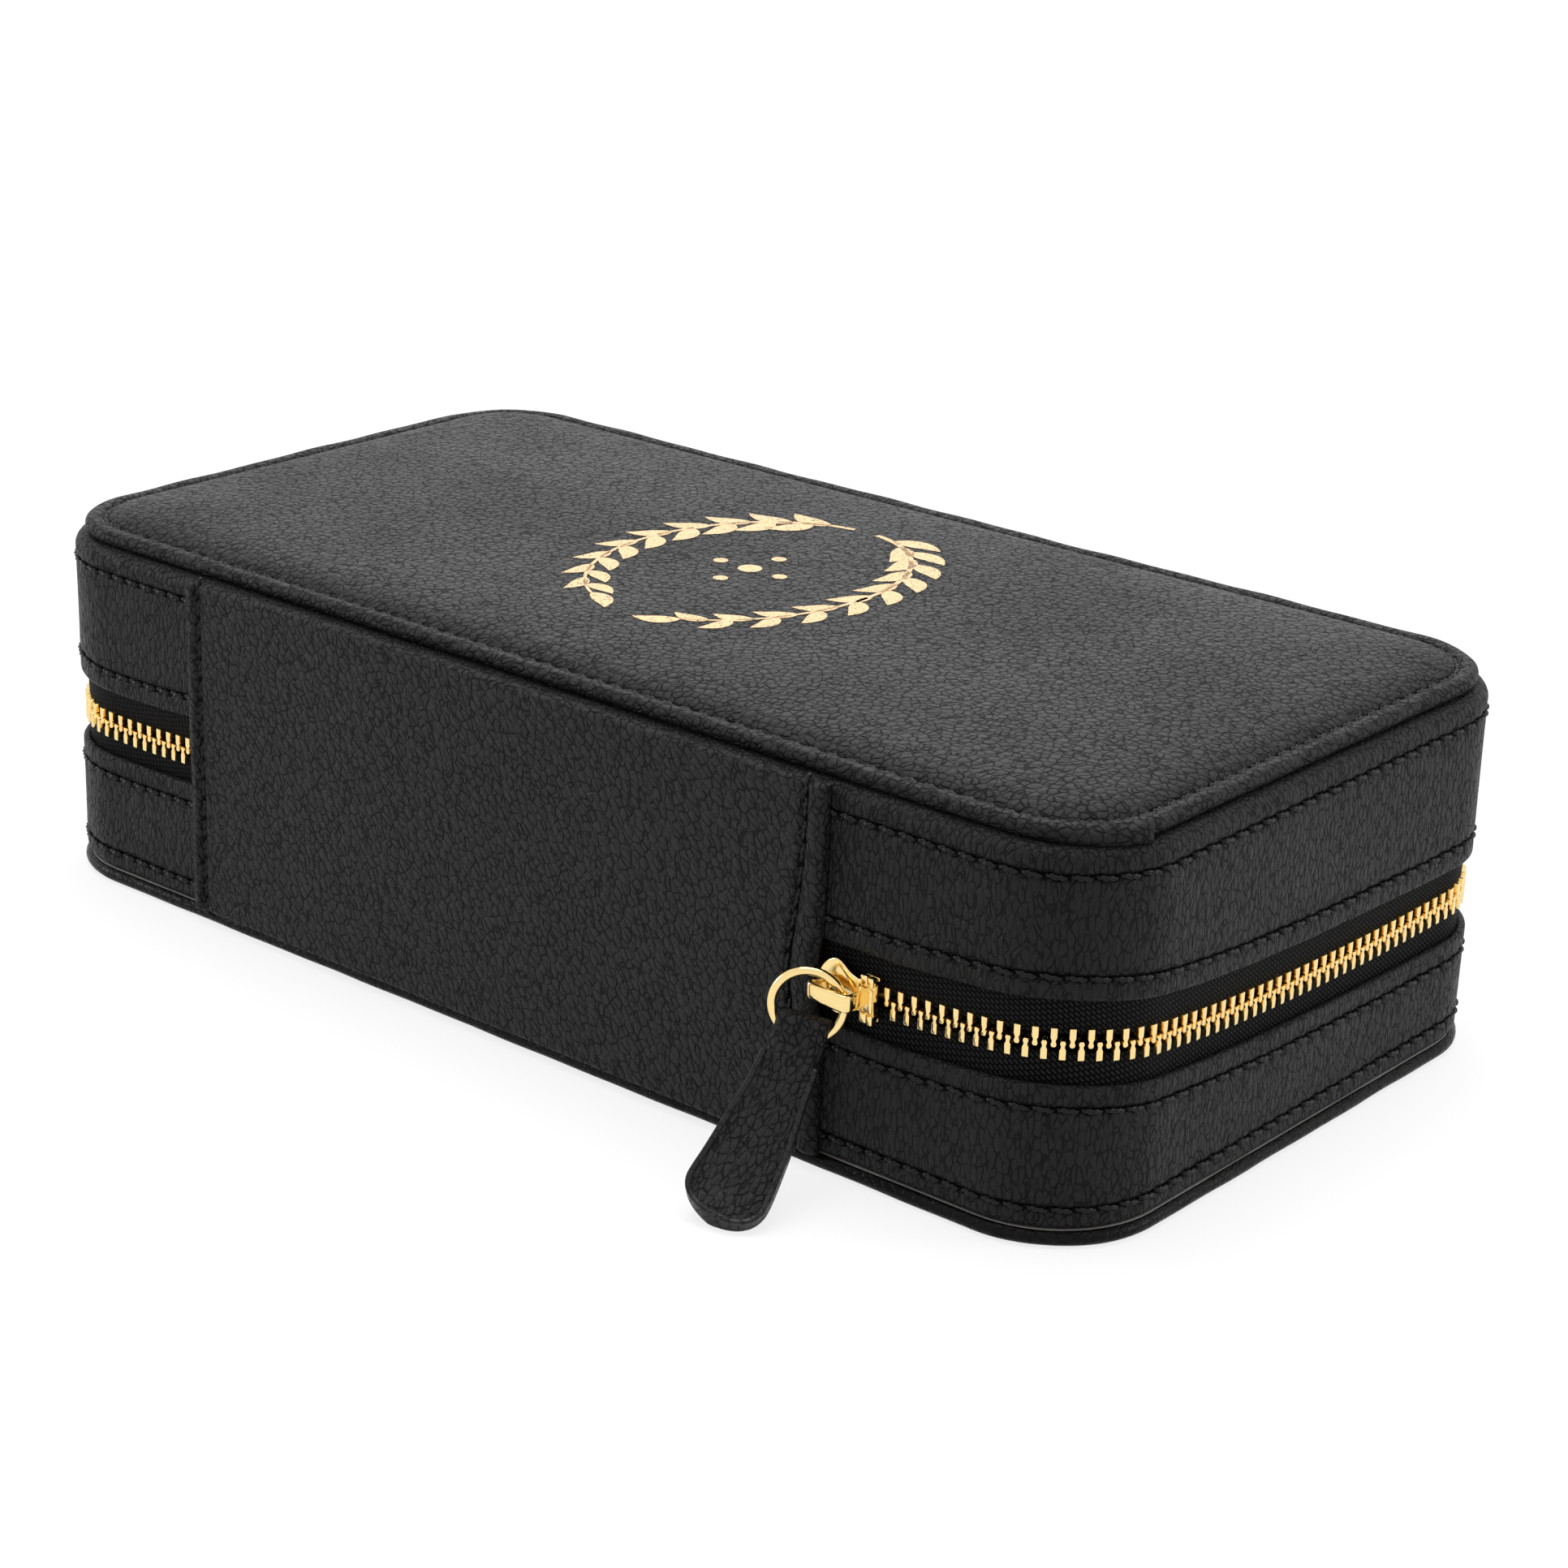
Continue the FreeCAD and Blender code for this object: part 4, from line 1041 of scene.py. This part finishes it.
class CASE_OT_foil_wreath(bpy.types.Operator):
    """Press a gold foil wreath of leaves into the lid's top"""

    bl_idname = "case.foil_wreath"
    bl_label = "Foil Wreath"

    def execute(self, context):
        reach = context.scene.case_sizes.wreath_reach
        squeeze = 0.78
        shapes = []

        def laid(points):
            from_end = CASE_LENGTH / 2 - np.abs(points[:, 0])
            from_side = CASE_DEPTH / 2 - np.abs(points[:, 1])
            return np.column_stack((points, top_level(np.minimum(from_end, from_side)) + 0.06 * MM))

        def ribbon(middle, widths):
            step = np.gradient(middle, axis=0)
            side = np.stack((-step[:, 1], step[:, 0]), 1)
            side = unit(side)
            left = laid(middle + side * widths[:, None])
            right = laid(middle - side * widths[:, None])
            grid = np.stack((right, left), 1)
            shapes.append((grid.reshape(-1, 3), grid_faces(len(middle), 2, False, False)))

        def leaf(root, angle, length):
            share = np.linspace(0, 1, 12)
            bow = 0.12 * length * np.sin(math.pi * share)
            ahead = np.array((math.cos(angle), math.sin(angle)))
            beside = np.array((-ahead[1], ahead[0]))
            middle = root + np.outer(share * length, ahead) + np.outer(bow, beside)
            ribbon(middle, 0.21 * length * np.sin(math.pi * share**0.8) ** 0.9 + 0.02 * MM)

        for side, start, end in ((1, -84, 66), (-1, 264, 114)):
            angles = np.radians(np.linspace(start, end, 60))
            stem = np.stack((squeeze * reach * np.cos(angles), reach * np.sin(angles)), 1)
            ribbon(stem, np.linspace(0.55, 0.25, 60) * MM)
            for number, index in enumerate(range(7, 59, 6)):
                forward = stem[index] - stem[index - 1]
                heading = math.atan2(forward[1], forward[0])
                length = (9.6 - 0.35 * number) * MM
                leaf(stem[index], heading + 0.62 * side, length)
                leaf(stem[index - 3], heading - 0.62 * side, length)
            tip = stem[-1] - stem[-2]
            leaf(stem[-1], math.atan2(tip[1], tip[0]), 8 * MM)
        turn = full_turn(14)
        for across, up, radius in ((0, 0, 2.1), (0, 7.5, 1.3), (0, -7.5, 1.3), (6.5, 0, 1.3), (-6.5, 0, 1.3)):
            rim_x = across * MM + radius * MM * np.cos(turn)
            rim_y = up * MM + radius * MM * np.sin(turn)
            shapes.append((laid(np.stack((rim_x, rim_y), 1)), [tuple(range(len(turn)))]))
        add_piece("foil_wreath", merge(shapes), foil_material(), "lid", open_skin=True)
        return {"FINISHED"}


# Zip


def tooth_shape(side):
    """One zip tooth: a bar that grips the tape, with a necked head.

    side is 1 for the lid's row and -1 for the base's.
    """
    half = ((0.5, 2.45), (0.5, 0.9), (0.33, 0.58), (0.3, 0.28), (0.44, 0.02), (0.4, -0.28), (0.26, -0.52))
    outline = [(x * MM, side * z * MM) for x, z in half]
    outline += [(-x, z) for x, z in outline[::-1]]
    return bevelled_prism(outline, -1.1 * MM, 1.1 * MM, 0.13 * MM)


class CASE_OT_zip_chain(bpy.types.Operator):
    """Make the zip's two rows of teeth"""

    bl_idname = "case.zip_chain"
    bl_label = "Zip Chain"

    def execute(self, context):
        start_x = SLIDER_LOW.x - TOOTH_LENGTH
        end_x = SPINE_HIGH.x - 2.5 * MM
        total = run_length(CASE, TAPE_MIDDLE) - (end_x - start_x)
        run = np.arange(0, total + 1e-9, TOOTH_PITCH / 2)
        points, outward = run_round(CASE, run, TAPE_MIDDLE, start_x)
        origins = np.column_stack((points, fallen(ZIP_LEVEL, points[:, 0], points[:, 1])))
        out = np.column_stack((outward, np.zeros(len(run))))
        up = np.tile((0.0, 0.0, 1.0), (len(run), 1))
        axes = np.stack((np.cross(up, out), out, up), 1)
        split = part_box("zip_tape_closed_end")[0].x
        closed_end = (points[:, 1] > TAPE_PLANE - 1e-6) & (points[:, 0] < 0) & (points[:, 0] > split)
        upper = np.arange(len(run)) % 2 == 0
        for name, chosen, side, body, node in (
            ("lid_teeth", upper & ~closed_end, 1, "lid", "zip_teeth_upper"),
            ("base_teeth", ~upper & ~closed_end, -1, "base", "zip_teeth_lower"),
            ("closed_end_upper_teeth", upper & closed_end, 1, "base", "zip_teeth_upper_end"),
            ("closed_end_lower_teeth", ~upper & closed_end, -1, "base", "zip_teeth_lower_end"),
        ):
            teeth = scatter(tooth_shape(side), origins[chosen], axes[chosen])
            add_gold(name, teeth, body, node, 28)
        low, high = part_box("zip_stop")
        stop = rounded_box(low, high, 0.2 * MM)
        add_gold("zip_stop_clip", stop, "base", "zip_stop", 28)
        return {"FINISHED"}


class CASE_OT_zip_tape(bpy.types.Operator):
    """Make the woven tapes that carry the teeth"""

    bl_idname = "case.zip_tape"
    bl_label = "Zip Tape"

    def execute(self, context):
        gap_start = SPINE_LOW.x + 5 * MM
        gap_end = SPINE_HIGH.x - 5 * MM
        total = run_length(CASE) - (gap_end - gap_start)
        closed_low, closed_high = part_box("zip_tape_closed_end")
        closed_run = gap_start - closed_low.x
        edge = 0.3 * MM
        seam = 7 * MM
        lower = ZIP_LEVEL - 1.4 * MM
        upper = ZIP_LEVEL + 1.4 * MM

        def strip(name, low, high, first, last, body, node):
            outline = [(TAPE_MIDDLE + edge, low)]
            for level in np.linspace(low, high, 14):
                bow = 0.12 * MM * math.sin(math.pi * (level - low) / (high - low))
                outline.append((TAPE_MIDDLE - edge - bow, level))
            outline.append((TAPE_MIDDLE + edge, high))
            run = np.linspace(first, last, max(round((last - first) / (1.2 * MM)), 2))
            skin, lay = ring_stack(CASE, outline, True, run=run, start_x=gap_start, fall=np.ones_like)
            add_piece(name, skin, tape_material(), body, (node,), lay=lay, flat_angle=50)

        strip("base_tape", BASE_EDGE - seam, lower, 0.0, total, "base", "zip_tape_lower")
        strip("closed_end_tape", upper, closed_high.z, 0.0, closed_run, "base", "zip_tape_closed_end")
        strip("lid_tape", upper, LID_EDGE + seam, closed_run, total, "lid", "zip_tape_upper")
        return {"FINISHED"}


def tilted(shape):
    """The slider's points as it rides on the zip, with its front a little higher than its rear."""
    points, faces = shape
    points = np.array(points, float)
    points[:, 2] += 0.1 * MM + 0.05 * (points[:, 0] - SLIDER_LOW.x)
    return points, faces


def slider_outline():
    """Half heights of a slider plate at distances behind its front: wide wings, a waist and a square rear."""
    wing = ((0.0, 1.2), (0.3, 2.3), (1.4, 3.5), (2.6, 4.2), (3.5, 4.3))
    wing += ((4.5, 3.8), (5.7, 3.0), (6.8, 2.6), (7.7, 2.6))
    rear = ((7.95, 3.1), (8.3, 3.4), (9.4, 3.4), (10.45, 3.35), (10.6, 3.1))
    return np.concatenate((smooth_path(np.array(wing) * MM, 4), np.array(rear) * MM))


def slider_plate(inner, outer, dome):
    """One slider plate between two faces, with its outer face domed and its rim rounded."""
    turn = full_turn(36)
    side = signed_power(np.cos(turn), 0.35)
    face = signed_power(np.sin(turn), 0.55)
    middle = (inner + outer) / 2
    loops = []
    for behind, half in slider_outline():
        sunk = dome * side**2 * np.clip(face, 0, 1)
        depth = middle + (outer - inner) / 2 * face - sunk
        along = np.full_like(turn, SLIDER_HIGH.x - behind)
        loops.append(np.stack((along, depth, ZIP_LEVEL + half * side), 1))
    return loft(loops)


class CASE_OT_slider(bpy.types.Operator):
    """Make the zip's slider and the bridge that holds its ring"""

    bl_idname = "case.slider"
    bl_label = "Slider"

    def execute(self, context):
        front = SLIDER_HIGH.x
        rear = SLIDER_LOW.x
        plate = 1.2 * MM
        post = 1.1 * MM
        post_rear = front - 2 * MM
        inner = SLIDER_LOW.y + plate
        outer = SLIDER_HIGH.y - plate
        shapes = [
            slider_plate(outer, SLIDER_HIGH.y, 0.4 * MM),
            slider_plate(inner, SLIDER_LOW.y, -0.4 * MM),
            rounded_box((post_rear, inner, ZIP_LEVEL - post), (front, outer, ZIP_LEVEL + post), 0.2 * MM),
        ]
        slit = 0.5 * MM
        lip = 2.5 * MM
        for way in (1, -1):
            near, far = sorted((ZIP_LEVEL + way * 2.9 * MM, ZIP_LEVEL + way * 3.5 * MM))
            shapes.append(rounded_box((rear, TAPE_PLANE + slit, near), (rear + lip, outer, far), 0.15 * MM))
            shapes.append(rounded_box((rear, inner, near), (rear + lip, TAPE_PLANE - slit, far), 0.15 * MM))
            near, far = sorted((ZIP_LEVEL + way * 2.2 * MM, ZIP_LEVEL + way * 3.75 * MM))
            for first, last, proud in ((0.0, 0.95, 0.35), (1.25, 2.5, 0.15)):
                corner = (rear + first * MM, outer + 0.3 * MM, near)
                opposite = (rear + last * MM, SLIDER_HIGH.y + proud * MM, far)
                shapes.append(rounded_box(corner, opposite, 0.22 * MM))
        window = ((0.15, 0.95, 1.9), (2.1, 2.6, 1.7))
        for first, last, half in window:
            corner = (rear + first * MM, SLIDER_HIGH.y - 0.3 * MM, ZIP_LEVEL - half * MM)
            opposite = (rear + last * MM, SLIDER_HIGH.y + 0.3 * MM, ZIP_LEVEL + half * MM)
            shapes.append(rounded_box(corner, opposite, 0.2 * MM))
        plates = tilted(merge(shapes))
        add_gold("slider_plates", plates, "slider", "slider_body", 40)
        low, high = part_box("slider_bridge")
        drop = 0.5 * MM
        path = (
            (low.x + drop, low.y - 0.1 * MM),
            (low.x + drop, high.y - 1.9 * MM),
            (low.x + 0.75 * MM, high.y - 0.95 * MM),
            (low.x + 1.6 * MM, high.y - drop),
            (high.x - 2.2 * MM, high.y - drop),
            (high.x - 0.95 * MM, high.y - 0.8 * MM),
            (high.x - drop, high.y - 1.7 * MM),
            (high.x - 0.9 * MM, high.y - 2.9 * MM),
            (high.x - 1.3 * MM, low.y - 0.1 * MM),
        )
        path = smooth_path(path, 5)
        turn = full_turn(28)
        wide = (high.z - low.z) / 2 * signed_power(np.cos(turn), 0.4)
        thick = drop * signed_power(np.sin(turn), 0.7)
        step = np.gradient(path, axis=0)
        step = unit(step)
        flare = np.interp(path[:, 0], (low.x, low.x + 2 * MM, high.x), (1.0, 1.0, 0.88))
        loops = [
            np.stack((x - dy * thick, y + dx * thick, ZIP_LEVEL + wide * grow), 1)
            for (x, y), (dx, dy), grow in zip(path, step, flare)
        ]
        arch = tilted(loft(loops))
        add_gold("slider_arch", arch, "slider", "slider_bridge", 60)
        return {"FINISHED"}


# Pull

RING_MIDDLE = np.array(JOINTS["tab_turn"]["pos_m"])
RING_AXIS = np.array(JOINTS["tab_turn"]["axis"])
RING_RADIUS = 5.4 * MM
RING_WIRE = 0.7 * MM
RING_LEVEL = np.cross((0.0, 0.0, 1.0), RING_AXIS)
TAB_ANGLE = math.radians(-78)
TAB_LENGTH = 29.5 * MM
TAB_VEER = math.radians(1.3)
TAB_BOW = 0.3
TAB_REST = 1.8 * MM
TAB_LOOP = 0.13
TAB_BEND = 0.12


class CASE_OT_pull_ring(bpy.types.Operator):
    """Make the wire ring of the pull"""

    bl_idname = "case.pull_ring"
    bl_label = "Pull Ring"

    def execute(self, context):
        turn = full_turn(18)
        loops = []
        for angle in full_turn(96):
            radial = RING_LEVEL * math.cos(angle) + np.array((0, 0, math.sin(angle)))
            around = np.outer(np.cos(turn), radial) + np.outer(np.sin(turn), RING_AXIS)
            loops.append(RING_MIDDLE + radial * RING_RADIUS + RING_WIRE * around)
        add_gold("wire_ring", loft(loops, True), "ring", "pull_ring")
        return {"FINISHED"}


def tab_frame(share):
    """The tab's middle at a share of its length, and the directions across, ahead and out of its face."""
    radial = RING_LEVEL * math.cos(TAB_ANGLE) + np.array((0, 0, math.sin(TAB_ANGLE)))
    start = RING_MIDDLE + radial * RING_RADIUS
    wire = np.array((0, 0, math.cos(TAB_ANGLE))) - RING_LEVEL * math.sin(TAB_ANGLE)
    level_across = np.array((wire[0], wire[1], 0.0))
    level_across /= np.linalg.norm(level_across)
    fall = start[2] - TAB_REST
    reach = math.sqrt(TAB_LENGTH**2 - fall**2)
    out = np.array((-math.sin(TAB_VEER), math.cos(TAB_VEER), 0.0))

    def middle(part):
        level = TAB_REST + fall * (1 - part) ** (1 + TAB_BOW)
        return start + out * (reach * part) + np.array((0, 0, level - start[2]))

    inside = min(max(share, 0.0), 0.999)
    forward = middle(inside + 0.001) - middle(inside)
    forward /= np.linalg.norm(forward)
    centre = middle(inside) + forward * (max(share - inside, 0.0) * TAB_LENGTH)
    if share < 0:
        centre = start + radial * (share * TAB_LENGTH)
    bent = min(max(share / TAB_BEND, 0.0), 1.0)
    forward = radial * (1 - bent) + forward * bent
    forward /= np.linalg.norm(forward)
    twist = min(max(share / 0.6, 0.0), 1.0)
    across = wire * (1 - twist) + level_across * twist
    across = across - forward * across.dot(forward)
    across /= np.linalg.norm(across)
    return centre, across, forward, np.cross(across, forward)


def tab_half_width(share):
    """Half the tab's width at a share of its length: a neck at the ring that spreads to a round tip."""
    half = np.interp(share, (-0.14, 0.1, 0.25, 0.5, 0.75, 0.82), (4.2, 4.25, 4.5, 5.5, 6.2, 6.3)) * MM
    tip = np.clip((share - 0.79) / 0.21, 0, 1)
    return half * np.sqrt(np.clip(1 - tip**2.3, 0, 1))


def tab_half_thickness(share):
    """Half the tab's thickness: a loop round the ring, then two layers glued flat."""
    half = np.interp(share, (0.0, 0.09, 0.2, 1.0), (1.6, 1.6, 1.35, 1.3)) * MM
    fold = np.clip((-share - 0.09) / (TAB_LOOP - 0.09), 0, 1)
    return half * np.sqrt(np.clip(1 - fold**2, 0, 1))


class CASE_OT_pull_tab(bpy.types.Operator):
    """Make the leather tab folded round the ring, with its painted edge"""

    bl_idname = "case.pull_tab"
    bl_label = "Pull Tab"

    def execute(self, context):
        rounding = np.sin(np.linspace(0, math.pi / 2, 22))
        loop = -0.09 - (TAB_LOOP - 0.0902) * rounding[::-1]
        shares = np.concatenate((loop, np.linspace(-0.08, 0.79, 54), 0.79 + 0.2099 * rounding[1:]))
        turn = full_turn(56)
        side = signed_power(np.cos(turn), 0.22)
        face = signed_power(np.sin(turn), 0.45)
        loops = []
        for share in shares:
            centre, across, _, up = tab_frame(share)
            half = max(tab_half_width(share) - 0.15 * MM, 0.05 * MM)
            thick = max(tab_half_thickness(share), 0.05 * MM)
            pillow = 1 - 0.1 * np.abs(side) ** 3
            loops.append(centre + np.outer(side * half, across) + np.outer(face * thick * pillow, up))
        add_piece("folded_tab", loft(loops), tab_leather(), "tab", ("pull_tab",))
        self.add_painted_edge(shares[shares > 0.1])
        return {"FINISHED"}

    def add_painted_edge(self, shares):
        """The smooth painted edge that runs round the tab from one side of the loop to the other."""
        outline = [(share, tab_half_width(share)) for share in shares]
        outline += [(share, -half) for share, half in outline[::-1]]
        rim = np.array([(share * TAB_LENGTH, half) for share, half in outline])
        step = np.gradient(rim, axis=0)
        step = unit(step)
        turn = full_turn(20)
        bulge = signed_power(np.cos(turn), 0.6)
        stand = signed_power(np.sin(turn), 0.45)
        loops = []
        for (share, half), (along, beside) in zip(outline, step):
            centre, across, forward, up = tab_frame(share)
            outward = -beside * forward + along * across
            thick = tab_half_thickness(share) + 0.06 * MM
            crease = 0.12 * MM * bell(stand, 0.25) * np.clip(bulge, 0, 1)
            reach = np.where(bulge > 0, 0.3 * MM, 0.75 * MM) * bulge - crease
            loops.append(centre + across * half + np.outer(reach, outward) + np.outer(stand * thick, up))
        add_piece("tab_edge", loft(loops), edge_paint(), "tab")


# Inside


class CASE_OT_linings(bpy.types.Operator):
    """Make the velvet linings of the base, the lid and the hinge"""

    bl_idname = "case.linings"
    bl_label = "Linings"

    def execute(self, context):
        outer = 3.85
        inner = 4.6
        rim = 4.2
        thick = 0.8
        for body, panel, edge in (
            ("base", BASE_WALL_LOW.z / MM, BASE_EDGE / MM),
            ("lid", LID_WALL_HIGH.z / MM, LID_EDGE / MM),
        ):
            way = 1 if edge > panel else -1
            floor = panel + way * thick
            outline = [(outer, panel), (outer, edge - way * 0.4), (rim, edge), (inner, edge - way * 0.4)]
            outline += [(inner, floor + way * 1.2), (inner + 0.35, floor + way * 0.35), (inner + 1.2, floor)]
            outline += [(12.0, floor), (30.0, floor), (57.0, floor)]

            def fall(level):
                span = (way * floor + 1.5, way * edge - 0.5)
                return np.interp(way * level / MM, span, (0, 1))

            profile = np.array(outline[::way]) * MM
            skin, _ = ring_stack(CASE, profile, False, spacing=2 * MM, fall=fall)
            add_velvet(body + "_velvet", skin, body, body + "_lining")
        low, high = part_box("hinge_lining")
        loops = []
        for z in np.linspace(low.z, high.z, 40):
            x = np.linspace(low.x, high.x, 60)
            ripple = 0.05 * MM * np.sin(x * 400 + z * 90)
            front = np.column_stack((x, low.y + ripple, np.full_like(x, z)))
            rear = np.column_stack((x[::-1], np.full_like(x, high.y), np.full_like(x, z)))
            loops.append(np.concatenate((front, rear)))
        cloth = add_velvet("hinge_velvet", loft(loops), None, "hinge_lining")
        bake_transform(cloth)
        return {"FINISHED"}


class CASE_OT_dividers(bpy.types.Operator):
    """Make the covered dividers of the base"""

    bl_idname = "case.dividers"
    bl_label = "Dividers"

    def execute(self, context):
        for node in ("ring_section_divider", "long_divider", "cross_divider_1", "cross_divider_2"):
            low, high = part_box(node)
            board = rounded_box(low, high, 0.9 * MM, 4)
            add_velvet(node + "_velvet", board, "base", node)
        return {"FINISHED"}


class CASE_OT_ring_rolls(bpy.types.Operator):
    """Make the padded rolls that hold rings"""

    bl_idname = "case.ring_rolls"
    bl_label = "Ring Rolls"

    def execute(self, context):
        turn = full_turn(36)
        side = signed_power(np.cos(turn), 0.55)
        rise = signed_power(np.sin(turn), np.where(np.sin(turn) > 0, 0.75, 0.35))
        for number in range(1, 7):
            node = "ring_roll_%d" % number
            low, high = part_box(node)
            centre = (low + high) / 2
            half = (high - low) / 2
            loops = []
            for share in np.linspace(-1, 1, 30):
                end = 0.5 + 0.5 * (1 - abs(share) ** 10)
                sag = 1 - 0.03 * math.cos(share * 4.5 + number)
                along = np.full_like(turn, centre.x + share * half.x)
                across = centre.y + side * half.y * end
                level = centre.z + rise * half.z
                level = np.where(rise > 0, centre.z + rise * half.z * end * sag, level)
                loops.append(np.column_stack((along, across, level)))
            name = "padded_roll_%d" % number
            roll = add_velvet(name, loft(loops), "base", node)
        return {"FINISHED"}


class CASE_OT_mirror(bpy.types.Operator):
    """Finish the lid's mirror and make its covered frame"""

    bl_idname = "case.mirror"
    bl_label = "Mirror"

    def execute(self, context):
        glass = frame["nodes"]["mirror"]
        glass.data.materials.clear()
        glass.data.materials.append(mirror_material())
        low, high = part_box("mirror_frame")
        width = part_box("mirror")[0].x - low.x
        size = (high.x - low.x, high.y - low.y, width + 6 * MM)
        turn = np.linspace(0, math.pi, 10)
        rise = 1.3 * MM
        face = high.z - rise
        outline = [(width / 2 - width / 2 * math.cos(a), face - rise * math.sin(a) ** 0.7) for a in turn]
        outline = [(0.0, high.z), *outline, (width, high.z)]
        skin, _ = ring_stack(size, outline, True, spacing=2 * MM)
        add_velvet("mirror_surround", skin, "lid", "mirror_frame")
        return {"FINISHED"}


class CASE_OT_boards(bpy.types.Operator):
    """Finish the boards and frames inside the leather"""

    bl_idname = "case.boards"
    bl_label = "Boards"

    def execute(self, context):
        for node in ("bottom_board", "base_frame", "lid_board", "lid_frame"):
            board = frame["nodes"][node]
            board.data.materials.clear()
            board.data.materials.append(board_material())
        return {"FINISHED"}


# Stage

FLOOR_REACH = 4.0
FLOOR_GLOW_SHARE = 0.78


def background_rays(tree):
    """1 for the rays that show the white background: the camera's, and those off metal or through glass."""
    rays = add_node(tree, "ShaderNodeLightPath").outputs
    seen = calculate(tree, "MAXIMUM", rays["Is Camera Ray"], rays["Is Glossy Ray"])
    return calculate(tree, "MAXIMUM", seen, rays["Is Transmission Ray"])


class CASE_OT_stage(bpy.types.Operator):
    """Set up the camera, the softboxes and the white floor"""

    bl_idname = "case.stage"
    bl_label = "Stage"

    def execute(self, context):
        scene = context.scene
        stage = scene.case_stage
        lens = bpy.data.cameras.new("photo_camera")
        lens.lens = 81.34
        lens.sensor_width = 36
        camera = bpy.data.objects.new("photo_camera", lens)
        right = Vector((-0.762827, -0.645947, 0.029123))
        up = Vector((0.247790, -0.250431, 0.935887))
        ahead = Vector((0.597240, -0.721136, -0.351095))
        place = Vector((-0.367247, 0.432754, 0.241364))
        camera.matrix_world = Matrix(
            [(right[axis], up[axis], -ahead[axis], place[axis]) for axis in range(3)] + [(0, 0, 0, 1)]
        )
        scene.collection.objects.link(camera)
        scene.camera = camera

        def softbox(name, power, size, position, target):
            lamp = bpy.data.lights.new(name, "AREA")
            lamp.energy = power
            lamp.size = size
            box = bpy.data.objects.new(name, lamp)
            box.location = position
            box.rotation_mode = "QUATERNION"
            box.rotation_quaternion = (Vector(target) - Vector(position)).to_track_quat("-Z", "Y")
            scene.collection.objects.link(box)

        softbox("overhead_softbox", stage.overhead, 0.9, (0.1, -0.1, 1.2), (0, 0, 0.03))
        softbox("back_softbox", stage.back, 0.8, (0.75, -0.9, 0.6), (0, 0, 0.06))
        softbox("right_softbox", stage.right, 0.35, (-0.9, -0.55, 0.4), (-0.1, 0, 0.03))
        softbox("left_softbox", stage.left, 0.35, (0.95, 0.5, 0.35), (0.05, 0.06, 0.03))

        white = floor_material()
        tree = white.node_tree
        glow = add_node(tree, "ShaderNodeEmission", {"Color": (1, 1, 1, 1), "Strength": 1.0}).outputs[0]
        share = calculate(tree, "MULTIPLY", background_rays(tree), FLOOR_GLOW_SHARE)
        painted = tree.nodes["Principled BSDF"].outputs[0]
        mixed = add_node(tree, "ShaderNodeMixShader", {0: share, 1: painted, 2: glow}).outputs[0]
        tree.links.new(mixed, tree.nodes["Material Output"].inputs["Surface"])
        corners = [(FLOOR_REACH * x, FLOOR_REACH * y, 0) for x, y in ((-1, -1), (1, -1), (1, 1), (-1, 1))]
        sheet = bpy.data.meshes.new("floor")
        sheet.from_pydata(corners, [], [(0, 1, 2, 3)])
        sheet.materials.append(white)
        floor = bpy.data.objects.new("floor", sheet)
        scene.collection.objects.link(floor)

        world = bpy.data.worlds.new("white_room")
        world.use_nodes = True
        tree = world.node_tree
        level = remap(tree, background_rays(tree), 0.0, 1.0, stage.room, 1.0)
        background = tree.nodes["Background"]
        background.inputs["Color"].default_value = (1, 1, 1, 1)
        tree.links.new(level, background.inputs["Strength"])
        scene.world = world
        scene.view_settings.view_transform = "Standard"
        return {"FINISHED"}


class CASE_PT_panel(bpy.types.Panel):
    """The case's sizes, colours and pieces"""

    bl_label = "Jewellery Case"
    bl_idname = "CASE_PT_panel"
    bl_space_type = "VIEW_3D"
    bl_region_type = "UI"
    bl_category = "Jewellery Case"

    def draw(self, context):
        for group in (context.scene.case_sizes, context.scene.case_colours, context.scene.case_stage):
            for key in group.__annotations__:
                self.layout.prop(group, key)
        for operator in OPERATORS:
            self.layout.operator(operator.bl_idname)


OPERATORS = (
    CASE_OT_stage,
    CASE_OT_wall_bands,
    CASE_OT_top_panel,
    CASE_OT_bottom_panel,
    CASE_OT_spine,
    CASE_OT_foil_wreath,
    CASE_OT_zip_chain,
    CASE_OT_zip_tape,
    CASE_OT_slider,
    CASE_OT_pull_ring,
    CASE_OT_pull_tab,
    CASE_OT_linings,
    CASE_OT_dividers,
    CASE_OT_ring_rolls,
    CASE_OT_mirror,
    CASE_OT_boards,
)
CLASSES = (CaseSizes, CaseColours, CaseStage, *OPERATORS, CASE_PT_panel)


def register():
    for item in CLASSES:
        bpy.utils.register_class(item)
    bpy.types.Scene.case_sizes = PointerProperty(type=CaseSizes)
    bpy.types.Scene.case_colours = PointerProperty(type=CaseColours)
    bpy.types.Scene.case_stage = PointerProperty(type=CaseStage)


def unregister():
    del bpy.types.Scene.case_stage
    del bpy.types.Scene.case_colours
    del bpy.types.Scene.case_sizes
    for item in reversed(CLASSES):
        bpy.utils.unregister_class(item)


def main():
    register()
    bpy.ops.case.stage()
    bpy.ops.case.wall_bands()
    bpy.ops.case.top_panel()
    bpy.ops.case.bottom_panel()
    bpy.ops.case.spine()
    bpy.ops.case.foil_wreath()
    bpy.ops.case.zip_chain()
    bpy.ops.case.zip_tape()
    bpy.ops.case.slider()
    bpy.ops.case.pull_ring()
    bpy.ops.case.pull_tab()
    bpy.ops.case.linings()
    bpy.ops.case.dividers()
    bpy.ops.case.ring_rolls()
    bpy.ops.case.mirror()
    bpy.ops.case.boards()


if __name__ == "__main__":
    main()
